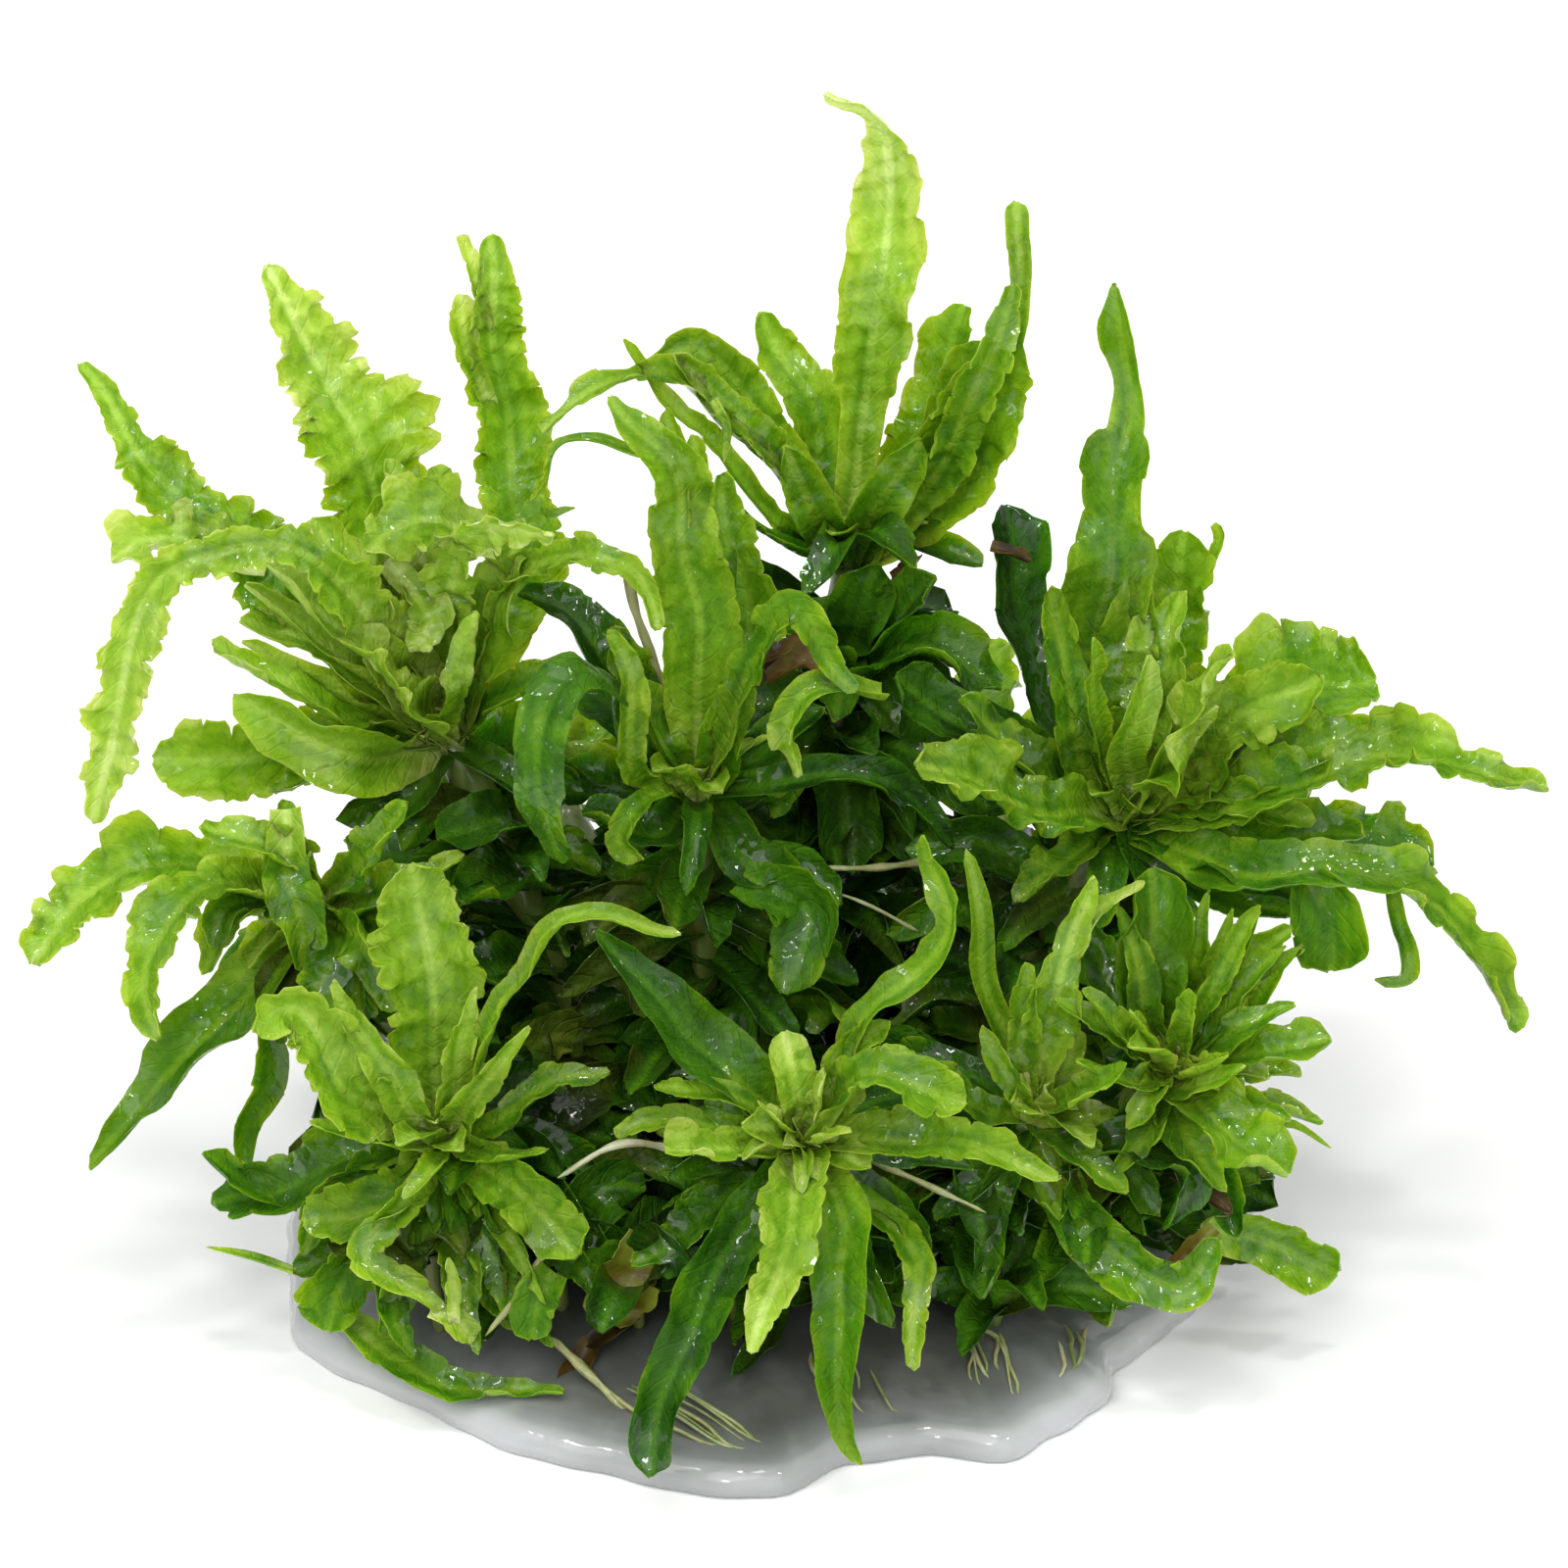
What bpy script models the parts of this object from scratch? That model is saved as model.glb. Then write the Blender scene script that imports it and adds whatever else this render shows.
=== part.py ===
"""A clump of small rosette plants, grown in culture, on its pad of clear nutrient gel.

Each plantlet is a short stem with a crown. Its large leaves are pieces of their own, and the
small leaves of its heart are one piece with the stem. Units are metres, +Z up. The origin is in
the middle of the flat underside of the gel, and -Y is the front.

A leaf's points are written in millimetres as (across, seen, away). Across is to the right, away
is into the clump, and seen is how high the point looks from the front, 25 degrees above level.
"""
import math

import bmesh
import bpy
from mathutils import Vector

MM = 0.001

# How the points of the leaves are written
VIEW_ELEVATION = math.radians(25.0)

# The leaf blades
BLADE_THICKNESS = 0.45
STATION_SPACING = 3.3
FEWEST_STATIONS = 4
MOST_STATIONS = 9
SMALL_BLADE_STATIONS = 4
SMALL_BLADE_START = 0.2
BLADE_CELLS_ACROSS = 2
FOLD = 0.10
RUFFLE = 0.35
SMALLEST_WIDTH = 0.5
PATH_SAMPLES = 16

# The stems and crowns
STEM_RADIUS = 0.8
STEM_RINGS = 4
CROWN_RADIUS = 1.45
CROWN_TOP = 0.8
CROWN_LENGTH = 3.2
GAP = 0.35

# The gel pad: its edge as (degrees, radius), its heights, and how fine it is
GEL_EDGE = [
    (10, 29.5), (21, 30.4), (38, 30.6), (60, 29.6), (82, 28.8), (106, 28.6), (128, 29.2),
    (150, 29.6), (170, 29.4), (192, 29.6), (204, 31.0), (222, 29.0), (248, 29.7), (269, 31.0),
    (280, 27.0), (289, 27.2), (297, 29.8), (305, 28.6), (313, 28.0), (323, 25.4), (333, 25.8),
    (345, 26.4), (357, 26.9),
]
GEL_EDGE_HEIGHT = 0.9
GEL_RIM_HEIGHT = 2.2
GEL_DOME_HEIGHT = 3.6
GEL_FOOT_INSET = 0.96
GEL_SEGMENTS = 40
GEL_RINGS = 6

# Which way the face of a leaf looks
UPWARD = Vector((0.0, -0.5, 0.87))
FORWARD = Vector((0.0, -1.0, 0.3))
BACKWARD = Vector((0.0, 0.5, 0.87))

# Outlines: the width at even steps from the base to the tip, as a share of the full width
STRAP = (0.26, 0.62, 0.90, 1.0, 0.88, 0.30)
BROAD = (0.26, 0.70, 1.0, 1.0, 0.90, 0.45)
STALKED = (0.24, 0.32, 0.60, 1.0, 0.95, 0.40)
NECKED = (0.28, 0.95, 1.0, 0.60, 0.34, 0.52, 0.12)
RIBBON = (0.50, 0.80, 0.90, 1.0, 0.80, 0.30)

# The colours of the leaves, from the palest to the deepest, and of the rest
COLOURS = {
    "pale_leaf": (0.29, 0.45, 0.06),
    "bright_leaf": (0.18, 0.33, 0.025),
    "deep_leaf": (0.045, 0.16, 0.008),
    "stem": (0.14, 0.24, 0.03),
    "gel": (0.30, 0.33, 0.28),
}
LEAF_ROUGHNESS = 0.35
GEL_ROUGHNESS = 0.12


class Leaf:
    """One leaf: the points its midrib passes after its base, and its form."""

    def __init__(self, *points, width, tone="bright_leaf", outline=STRAP, face=UPWARD,
                 ruffle=RUFFLE, base=1.0):
        self.points = [seen_point(*point) for point in points]
        self.width = width
        self.tone = tone
        self.outline = outline
        self.face = face
        self.ruffle = ruffle
        self.base = base

    def stations(self, origin):
        """How many steps the blade of a large leaf has along its length."""
        line = [origin, *self.points]
        length = sum((end - start).length for start, end in zip(line, line[1:]))
        return max(FEWEST_STATIONS, min(MOST_STATIONS, round(length / STATION_SPACING)))


class Plantlet:
    """One rosette: its crown, the foot of its stem on the gel, and its leaves."""

    def __init__(self, name, crown, foot, large, small):
        self.name = name
        self.crown = Vector(crown)
        self.foot = Vector(foot)
        self.large = large
        self.small = small


def seen_point(across, seen, away):
    """A point in millimetres from how it looks from the front, and how far in it is."""
    height = (seen - away * math.sin(VIEW_ELEVATION)) / math.cos(VIEW_ELEVATION)
    return Vector((across, away, height))


PLANTLETS = [
    Plantlet(
        "upper_left", crown=(-19.4, 6.0, 31.4), foot=(-12.0, 4.0),
        large=[
            Leaf((-28.8, 39.3, 5.5), (-37.0, 47.5, 10.0), (-41.2, 53.3, 12.0),
                 width=4.0, tone="pale_leaf", ruffle=0.5),
            Leaf((-23.0, 40.0, 11.5), (-25.0, 48.5, 15.0), (-30.8, 59.7, 18.0),
                 width=6.0, tone="pale_leaf", outline=BROAD, ruffle=0.6),
            Leaf((-15.0, 42.0, 12.0), (-16.2, 50.0, 16.0), (-16.8, 60.8, 18.0),
                 width=4.6, tone="pale_leaf", ruffle=0.4),
            Leaf((-27.0, 41.4, -1.0), (-35.0, 40.5, -3.0), (-38.2, 34.0, -4.0), (-40.0, 25.8, -4.0),
                 width=3.0, tone="pale_leaf", outline=RIBBON, ruffle=0.6),
            Leaf((-28.4, 29.8, 2.6), (-36.5, 29.6, 1.0), width=3.8),
        ],
        small=[
            Leaf((-15.5, 41.0, 4.0), (-9.0, 41.2, 0.0), (-7.8, 37.6, -2.0), width=2.3),
            Leaf((-18.8, 42.5, 2.5), (-13.4, 43.4, -0.5), width=3.0, tone="pale_leaf"),
            Leaf((-26.5, 32.6, 0.5), (-33.0, 36.0, -1.0), width=3.0),
            Leaf((-20.0, 23.3, 9.0), (-26.0, 25.0, 12.5), width=3.6, tone="deep_leaf", base=0.5),
            Leaf((-15.0, 24.8, 10.5), (-15.0, 28.5, 16.5), width=3.6, tone="deep_leaf", base=0.5),
        ]),
    Plantlet(
        "upper_back", crown=(4.5, 18.0, 37.5), foot=(3.0, 12.0),
        large=[
            Leaf((5.2, 50.0, 19.0), (6.6, 60.0, 20.0), (6.2, 67.6, 20.0), (3.0, 69.3, 19.0),
                 width=4.4, tone="pale_leaf", outline=BROAD, face=FORWARD),
            Leaf((8.7, 48.7, 21.0), (11.6, 57.4, 25.0), width=4.0),
            Leaf((11.0, 48.0, 17.0), (15.0, 55.5, 16.0), (14.2, 62.9, 16.0),
                 width=4.4, outline=NECKED, face=FORWARD),
            Leaf((0.3, 49.2, 19.0), (-4.0, 54.5, 19.0), (-8.0, 52.9, 17.0), width=3.0),
            Leaf((2.6, 48.5, 23.0), (-0.2, 57.2, 26.0), width=3.5),
        ],
        small=[
            Leaf((-0.5, 48.0, 14.0), (-5.0, 52.4, 11.0), (-13.7, 49.2, 9.0), width=1.5,
                 outline=RIBBON),
            Leaf((7.0, 45.0, 25.0), (10.0, 46.0, 32.0), width=3.5, tone="deep_leaf"),
            Leaf((1.8, 42.4, 14.5), (-2.7, 45.0, 11.0), width=1.8, tone="deep_leaf"),
            Leaf((8.0, 29.5, 18.5), (12.0, 33.7, 24.0), width=3.8, tone="deep_leaf", base=0.5),
            Leaf((-0.5, 30.9, 19.5), (-5.0, 35.0, 25.0), width=3.8, tone="deep_leaf", base=0.5),
            Leaf((4.5, 35.6, 22.0), (5.0, 38.0, 29.0), width=3.8, tone="deep_leaf", base=0.67),
            Leaf((4.8, 31.6, 10.5), (6.0, 30.1, 7.0), width=3.4, tone="deep_leaf", base=0.67),
        ]),
    Plantlet(
        "middle", crown=(-4.5, 2.0, 29.6), foot=(-4.0, 2.0),
        large=[
            Leaf((-4.6, 37.0, 2.0), (-5.6, 45.2, 3.0), (-9.2, 51.2, 3.0),
                 width=4.1, outline=BROAD, face=FORWARD, ruffle=0.15),
            Leaf((-7.8, 32.6, -2.0), (-11.0, 35.0, -5.0), (-13.9, 31.0, -8.0), (-12.5, 23.4, -9.0),
                 width=3.4, tone="deep_leaf", outline=STALKED, ruffle=0.1),
            Leaf((-8.5, 34.0, 4.0), (-11.8, 38.4, 6.0), (-15.6, 40.0, 7.5),
                 width=3.6, tone="deep_leaf", ruffle=0.15),
            Leaf((1.0, 28.5, 0.0), (6.5, 28.6, 0.5), (11.1, 24.4, 1.0),
                 width=2.4, tone="deep_leaf", ruffle=0.1),
        ],
        small=[
            Leaf((-1.8, 37.0, 7.0), (-2.6, 47.0, 9.5), width=2.6),
            Leaf((-1.2, 35.5, -2.0), (0.8, 39.4, -3.0), (4.9, 34.2, -4.5), width=2.4),
            Leaf((-4.8, 25.6, -3.0), (-5.2, 21.5, -6.0), width=2.0, tone="deep_leaf", face=FORWARD),
            Leaf((-9.0, 19.6, 2.5), (-13.0, 19.4, 3.0), width=3.4, tone="deep_leaf", base=0.5),
            Leaf((0.5, 18.3, 0.5), (5.0, 16.8, -1.0), width=3.6, tone="deep_leaf", base=0.5),
            Leaf((-4.5, 22.2, 6.5), (-5.0, 24.6, 11.0), width=3.4, tone="deep_leaf", base=0.5),
        ]),
    Plantlet(
        "right", crown=(20.9, 4.0, 27.2), foot=(13.0, 3.0),
        large=[
            Leaf((19.3, 35.0, 6.0), (19.8, 43.0, 8.0), (20.8, 51.0, 10.0), (20.0, 57.9, 11.0),
                 width=5.2, outline=NECKED),
            Leaf((23.0, 34.0, 9.5), (25.2, 43.8, 13.0), width=3.8, outline=BROAD, ruffle=0.5),
            Leaf((27.8, 33.2, 5.5), (35.0, 36.2, 8.5), width=6.2, tone="pale_leaf", outline=BROAD,
                 ruffle=0.6),
            Leaf((29.0, 27.8, -0.6), (36.5, 29.8, -0.6), (45.8, 28.1, -1.0), width=4.0),
            Leaf((27.0, 23.0, -4.5), (36.0, 22.2, -5.5), (41.0, 18.2, -5.5), (43.8, 13.3, -7.0),
                 width=3.8),
            Leaf((15.7, 27.2, -2.0), (8.0, 29.8, -6.0), width=4.4, outline=BROAD, ruffle=0.5),
            Leaf((15.8, 36.0, 10.0), (13.9, 45.8, 15.0), width=3.0, tone="deep_leaf"),
            Leaf((13.8, 30.3, 5.0), (6.7, 34.7, 6.0), width=3.8, tone="deep_leaf"),
        ],
        small=[
            Leaf((30.0, 26.4, 5.0), (39.7, 24.2, 6.0), width=2.9, tone="deep_leaf"),
            Leaf((19.0, 32.0, 0.5), (18.6, 37.3, -1.0), width=1.6),
            Leaf((23.6, 30.4, -0.5), (27.0, 35.8, -3.0), width=3.6, tone="pale_leaf"),
            Leaf((17.8, 24.6, 0.0), (14.5, 21.5, -2.5), width=3.0),
            Leaf((19.5, 20.4, 8.5), (24.0, 22.7, 13.0), width=3.6, tone="deep_leaf", base=0.5),
            Leaf((14.3, 22.2, 8.5), (14.0, 25.8, 14.0), width=3.6, tone="deep_leaf", base=0.5),
            Leaf((21.0, 15.7, -0.5), (27.0, 14.1, -3.0), width=3.2, tone="deep_leaf", base=0.5),
        ]),
    Plantlet(
        "lower_left", crown=(-19.4, -14.0, 14.8), foot=(-15.0, -9.0),
        large=[
            Leaf((-20.4, 14.5, -13.8), (-21.8, 23.7, -13.0), width=5.0, outline=BROAD,
                 face=FORWARD),
            Leaf((-16.5, 13.5, -17.5), (-12.5, 20.4, -19.0), (-5.2, 19.9, -20.5), width=1.8,
                 outline=RIBBON, ruffle=0.1),
            Leaf((-24.0, 10.7, -16.0), (-27.5, 15.3, -17.0), (-29.8, 14.5, -18.5), width=3.4),
            Leaf((-25.0, 6.0, -13.0), (-33.2, 3.2, -12.0), width=3.2, tone="deep_leaf"),
            Leaf((-14.8, 4.8, -19.0), (-11.4, 1.0, -22.0), width=2.8, face=FORWARD),
        ],
        small=[
            Leaf((-22.0, 3.0, -19.0), (-23.3, 0.2, -21.0), (-19.5, -2.2, -22.0), width=2.2,
                 face=FORWARD),
            Leaf((-15.3, 9.7, -15.5), (-9.5, 12.4, -15.0), width=1.8),
            Leaf((-17.2, 1.5, -17.5), (-14.8, -4.0, -20.5), width=3.0, face=FORWARD),
            Leaf((-24.0, 2.6, -14.5), (-28.0, -0.6, -14.0), width=2.8, tone="deep_leaf"),
            Leaf((-23.5, 10.6, -11.0), (-28.2, 13.2, -8.5), width=2.8),
            Leaf((-14.5, 6.6, -12.5), (-9.0, 5.0, -12.0), width=3.0, tone="deep_leaf"),
        ]),
    Plantlet(
        "far_left", crown=(-27.0, -4.0, 25.0), foot=(-19.0, -3.0),
        large=[
            Leaf((-34.5, 23.8, -4.0), (-40.6, 21.8, -5.0), (-43.8, 17.6, -6.0), width=4.4,
                 tone="pale_leaf", ruffle=0.5),
            Leaf((-32.6, 22.5, -9.0), (-36.6, 19.0, -11.5), (-36.1, 13.4, -13.0), width=3.3,
                 ruffle=0.5, outline=RIBBON),
            Leaf((-31.3, 15.8, -8.0), (-36.0, 11.0, -10.0), (-40.5, 5.7, -12.0), width=4.2,
                 tone="deep_leaf", ruffle=0.1),
        ],
        small=[
            Leaf((-30.0, 14.0, -3.0), (-32.0, 5.2, -4.0), width=2.0, tone="deep_leaf",
                 face=FORWARD),
            Leaf((-28.6, 24.5, -6.0), (-28.8, 27.5, -5.0), width=2.6),
            Leaf((-24.2, 24.0, -6.0), (-21.6, 27.5, -8.0), width=2.8),
            Leaf((-25.0, 17.5, -8.0), (-24.4, 13.0, -9.5), width=2.8, face=FORWARD),
            Leaf((-29.5, 19.0, -1.0), (-33.5, 17.0, 1.0), width=2.8, tone="deep_leaf"),
            Leaf((-24.5, 16.7, 2.0), (-29.0, 19.3, 7.0), width=3.4, tone="deep_leaf", base=0.5),
        ]),
    Plantlet(
        "front", crown=(1.7, -20.0, 17.6), foot=(1.0, -12.0),
        large=[
            Leaf((-4.6, 13.3, -18.0), (-10.2, 19.7, -16.0), width=4.4, tone="deep_leaf",
                 ruffle=0.1),
            Leaf((6.0, 15.5, -19.0), (10.2, 19.8, -18.0), (8.4, 25.5, -16.0), width=2.0),
            Leaf((5.5, 11.2, -23.0), (10.9, 10.2, -25.0), width=2.3),
            Leaf((8.0, 8.2, -22.0), (16.5, 6.3, -24.0), width=2.7),
            Leaf((-2.5, 1.5, -25.0), (-6.0, -5.5, -30.5), (-7.1, -11.4, -33.0), width=3.8,
                 tone="deep_leaf", face=FORWARD, ruffle=0.15),
            Leaf((0.4, 2.5, -27.5), (-1.2, -4.3, -32.0), width=3.3, face=FORWARD),
            Leaf((4.3, 2.5, -25.0), (3.4, -5.0, -30.0), (5.3, -11.2, -33.0), width=3.0,
                 face=FORWARD, ruffle=0.15),
        ],
        small=[
            Leaf((1.2, 11.0, -21.5), (0.3, 14.2, -20.5), width=2.2, tone="pale_leaf"),
            Leaf((-2.2, 7.4, -22.5), (-6.0, 6.9, -24.5), width=2.6),
            Leaf((-2.0, 9.8, -21.0), (-6.7, 11.0, -21.0), width=1.6),
            Leaf((5.8, 4.4, -20.5), (9.4, 0.4, -22.0), width=2.4, tone="deep_leaf"),
            Leaf((-3.4, 4.0, -20.0), (-8.4, 0.6, -21.0), width=3.0),
            Leaf((0.6, 3.4, -18.5), (-1.0, -1.0, -20.0), width=2.8, tone="deep_leaf",
                 face=FORWARD),
            Leaf((4.4, 8.8, -16.5), (8.8, 10.6, -13.5), width=2.6, tone="deep_leaf"),
        ]),
    Plantlet(
        "lower_right", crown=(23.2, -12.0, 18.3), foot=(18.0, -8.0),
        large=[
            Leaf((22.6, 17.0, -11.0), (22.3, 23.4, -9.0), width=4.8, outline=BROAD, face=FORWARD),
            Leaf((27.5, 13.0, -13.0), (32.8, 13.6, -14.0), width=2.8),
            Leaf((25.8, 8.5, -17.0), (30.0, 5.6, -19.5), width=4.2, outline=BROAD),
        ],
        small=[
            Leaf((26.2, 15.8, -10.0), (29.8, 20.0, -8.0), width=2.4),
            Leaf((27.6, 9.6, -10.5), (32.4, 8.4, -9.5), width=2.2),
            Leaf((25.0, 6.0, -13.5), (27.0, 1.5, -15.0), width=2.8, tone="deep_leaf",
                 face=FORWARD),
            Leaf((19.8, 15.6, -9.5), (18.2, 20.6, -7.0), width=2.6, tone="deep_leaf"),
            Leaf((28.0, 2.6, -8.0), (33.0, -1.4, -12.0), width=2.6),
            Leaf((20.9, 7.2, -15.0), (22.5, 3.0, -17.0), width=2.6, tone="deep_leaf",
                 face=FORWARD),
        ]),
    Plantlet(
        "front_right", crown=(15.0, -14.0, 16.4), foot=(11.0, -9.0),
        large=[
            Leaf((15.9, 15.0, -13.0), (18.6, 22.8, -12.0), width=3.0, face=FORWARD),
            Leaf((18.6, 2.0, -18.0), (23.4, -1.0, -20.5), (26.2, 1.3, -19.5), width=2.6,
                 face=FORWARD),
        ],
        small=[
            Leaf((12.9, 16.8, -11.0), (11.3, 24.4, -10.0), width=1.6),
            Leaf((11.0, 11.4, -12.5), (6.6, 12.6, -11.5), width=2.6, tone="deep_leaf"),
            Leaf((17.4, 6.8, -17.0), (20.4, 4.8, -19.5), width=2.4),
            Leaf((13.0, 4.0, -18.0), (11.5, -1.5, -20.5), width=2.2, tone="deep_leaf",
                 face=FORWARD),
        ]),
    Plantlet(
        "rear_left", crown=(-13.0, 23.0, 19.0), foot=(-9.0, 15.0),
        large=[
            Leaf((-19.0, 32.5, 27.0), (-26.0, 34.0, 30.0), width=3.8, face=BACKWARD),
            Leaf((-13.5, 33.0, 29.0), (-14.5, 36.0, 36.0), width=4.0),
            Leaf((-18.0, 22.5, 28.0), (-21.5, 16.0, 31.5), width=3.2, tone="deep_leaf",
                 face=BACKWARD),
        ],
        small=[
            Leaf((-8.0, 32.0, 27.0), (-4.5, 34.0, 31.0), width=2.6),
            Leaf((-12.0, 20.0, 29.5), (-11.0, 15.5, 33.0), width=2.2, face=BACKWARD),
            Leaf((-16.5, 28.0, 23.5), (-21.5, 28.6, 22.5), width=3.0, face=BACKWARD),
            Leaf((-15.5, 20.5, 19.5), (-20.0, 20.2, 20.0), width=3.2, face=BACKWARD, base=0.5),
            Leaf((-8.5, 21.5, 24.0), (-7.0, 21.7, 30.0), width=3.2, face=BACKWARD, base=0.5),
        ]),
    Plantlet(
        "rear_right", crown=(13.5, 23.0, 18.0), foot=(9.0, 15.0),
        large=[
            Leaf((19.0, 31.0, 26.0), (25.5, 33.5, 29.0), width=3.8, face=BACKWARD),
            Leaf((13.0, 33.0, 29.0), (13.5, 37.0, 35.5), width=4.2),
            Leaf((18.5, 21.0, 28.0), (22.0, 15.0, 31.0), width=3.2, tone="deep_leaf",
                 face=BACKWARD),
        ],
        small=[
            Leaf((7.5, 31.0, 27.0), (4.5, 33.5, 31.5), width=2.6),
            Leaf((12.5, 19.0, 29.5), (10.5, 14.5, 32.5), width=2.2, face=BACKWARD),
            Leaf((17.0, 26.8, 23.5), (22.0, 27.2, 22.5), width=3.0, face=BACKWARD),
            Leaf((16.0, 20.3, 19.0), (21.0, 18.9, 19.0), width=3.2, face=BACKWARD, base=0.5),
            Leaf((8.0, 21.5, 24.0), (6.0, 21.7, 30.0), width=3.2, face=BACKWARD, base=0.5),
        ]),
]


def clear_scene():
    for item in list(bpy.data.objects):
        bpy.data.objects.remove(item, do_unlink=True)


def new_collection(name):
    collection = bpy.data.collections.new(name)
    bpy.context.scene.collection.children.link(collection)
    return collection


def make_material(name, tone):
    material = bpy.data.materials.new(name)
    material.use_nodes = True
    shader = material.node_tree.nodes["Principled BSDF"]
    shader.inputs["Base Color"].default_value = (*COLOURS[tone], 1.0)
    shader.inputs["Metallic"].default_value = 0.0
    shader.inputs["Roughness"].default_value = GEL_ROUGHNESS if tone == "gel" else LEAF_ROUGHNESS
    return material


def add_object(name, mesh, collection, tone):
    item = bpy.data.objects.new(name, mesh)
    mesh.materials.append(make_material(name + "_" + tone, tone))
    collection.objects.link(item)
    return item


def eased(values, place):
    """A value between the listed ones, at a place from 0 to 1, with rounded turns."""
    step = min(place, 0.9999) * (len(values) - 1)
    index = int(step)
    ease = (1.0 - math.cos(math.pi * (step - index))) / 2.0
    return values[index] + (values[index + 1] - values[index]) * ease


def smooth_path(points, stations):
    """A smooth line through the points, cut into even steps."""
    before = 2.0 * points[0] - points[1]
    after = 2.0 * points[-1] - points[-2]
    spread = [before, *points, after]
    dense = []
    for a, b, c, d in zip(spread, spread[1:], spread[2:], spread[3:]):
        for sample in range(PATH_SAMPLES):
            t = sample / PATH_SAMPLES
            cubic = (3.0 * b - a - 3.0 * c + d) * t ** 3
            square = (2.0 * a - 5.0 * b + 4.0 * c - d) * t ** 2
            dense.append((2.0 * b + (c - a) * t + square + cubic) / 2.0)
    dense.append(points[-1])
    reached = [0.0]
    for start, end in zip(dense, dense[1:]):
        reached.append(reached[-1] + (end - start).length)
    path = []
    index = 0
    for station in range(stations + 1):
        wanted = reached[-1] * station / stations
        while index < len(dense) - 2 and reached[index + 1] < wanted:
            index += 1
        share = (wanted - reached[index]) / (reached[index + 1] - reached[index])
        path.append(dense[index].lerp(dense[index + 1], share))
    return path


def path_frames(path, face):
    """The side and face directions along a path. The face looks the given way at its middle."""
    tangents = []
    for index in range(len(path)):
        ahead = path[min(index + 1, len(path) - 1)]
        behind = path[max(index - 1, 0)]
        tangents.append((ahead - behind).normalized())
    middle = len(path) // 2
    sides = [None] * len(path)
    sides[middle] = tangents[middle].cross(face).normalized()
    for index in [*range(middle + 1, len(path)), *range(middle - 1, -1, -1)]:
        side = sides[index - 1] if index > middle else sides[index + 1]
        sides[index] = (side - tangents[index] * side.dot(tangents[index])).normalized()
    return [(side, side.cross(tangent)) for side, tangent in zip(sides, tangents)]


def leaf_mesh(name, origin, leaf, stations, start):
    """An open leaf blade that starts at a distance from the place it grows from."""
    outward = (leaf.points[0] - origin).normalized()
    path = smooth_path([origin + outward * start, *leaf.points], stations)
    frames = path_frames(path, leaf.face)
    blade = bmesh.new()
    bmesh.ops.create_grid(blade, x_segments=stations, y_segments=BLADE_CELLS_ACROSS, size=1.0)
    for vert in blade.verts:
        along = (vert.co.x + 1.0) / 2.0
        across = vert.co.y
        station = round(along * stations)
        side, face = frames[station]
        half_width = max(eased(leaf.outline, along) * leaf.width, SMALLEST_WIDTH) / 2.0
        wave = leaf.ruffle if station % 2 else -leaf.ruffle
        wave *= math.copysign(1.0, across) * min(1.0, half_width * 2.0 / leaf.width)
        lift = abs(across) * (FOLD * half_width * 2.0 + wave)
        vert.co = (path[station] + side * across * half_width + face * lift) * MM
    mesh = bpy.data.meshes.new(name)
    blade.to_mesh(mesh)
    blade.free()
    mesh.shade_smooth()
    return mesh


def thicken(item):
    solidify = item.modifiers.new("blade_thickness", "SOLIDIFY")
    solidify.thickness = BLADE_THICKNESS * MM
    solidify.offset = 0.0


def gel_reach(angle):
    """How far the gel pad reaches at an angle, in millimetres."""
    degrees = math.degrees(angle) % 360.0
    first, last = GEL_EDGE[0], GEL_EDGE[-1]
    edge = [(last[0] - 360, last[1]), *GEL_EDGE, (first[0] + 360, first[1])]
    for (a, low), (b, high) in zip(edge, edge[1:]):
        if a <= degrees <= b:
            return eased((low, high), (degrees - a) / (b - a))
    return first[1]


def gel_height(share):
    """The height of the gel at a share of the way from its middle to its edge."""
    rim = (GEL_RIM_HEIGHT - GEL_EDGE_HEIGHT) * math.sqrt(max(0.0, 1.0 - share ** 6))
    return GEL_EDGE_HEIGHT + rim + GEL_DOME_HEIGHT * (1.0 - share ** 2)


def make_gel(collection):
    pad = bmesh.new()
    bmesh.ops.create_uvsphere(pad, u_segments=GEL_SEGMENTS, v_segments=GEL_RINGS, radius=1.0)
    for vert in pad.verts:
        share = min(1.0, math.hypot(vert.co.x, vert.co.y))
        reach = gel_reach(math.atan2(vert.co.y, vert.co.x))
        height = gel_height(share)
        if vert.co.z < -0.01:
            share *= GEL_FOOT_INSET
            height = 0.0
        direction = Vector((vert.co.x, vert.co.y, 0.0))
        if direction.length > 0.0001:
            direction.normalize()
        vert.co = (direction * share * reach + Vector((0.0, 0.0, height))) * MM
    mesh = bpy.data.meshes.new("culture_gel")
    pad.to_mesh(mesh)
    pad.free()
    mesh.shade_smooth()
    return add_object("culture_gel", mesh, collection, "gel")


def stem_line(plantlet):
    """The line of the bare stem, from just above the gel to its crown, and the way it leans."""
    foot = plantlet.foot
    share = math.hypot(foot.x, foot.y) / gel_reach(math.atan2(foot.y, foot.x))
    ground = Vector((foot.x, foot.y, gel_height(share) + GAP))
    bend = Vector((foot.x, foot.y, (ground.z * 2.0 + plantlet.crown.z) / 3.0))
    lean = (plantlet.crown - bend).normalized()
    below = plantlet.crown - lean * CROWN_LENGTH
    return smooth_path([ground, bend, below], STEM_RINGS), lean


def leaf_origin(plantlet, leaf):
    """Where a leaf grows: in the crown, or on the stem at a share of its line."""
    if leaf.base >= 1.0:
        return plantlet.crown
    line, _ = stem_line(plantlet)
    return line[round(leaf.base * STEM_RINGS)]


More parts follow.
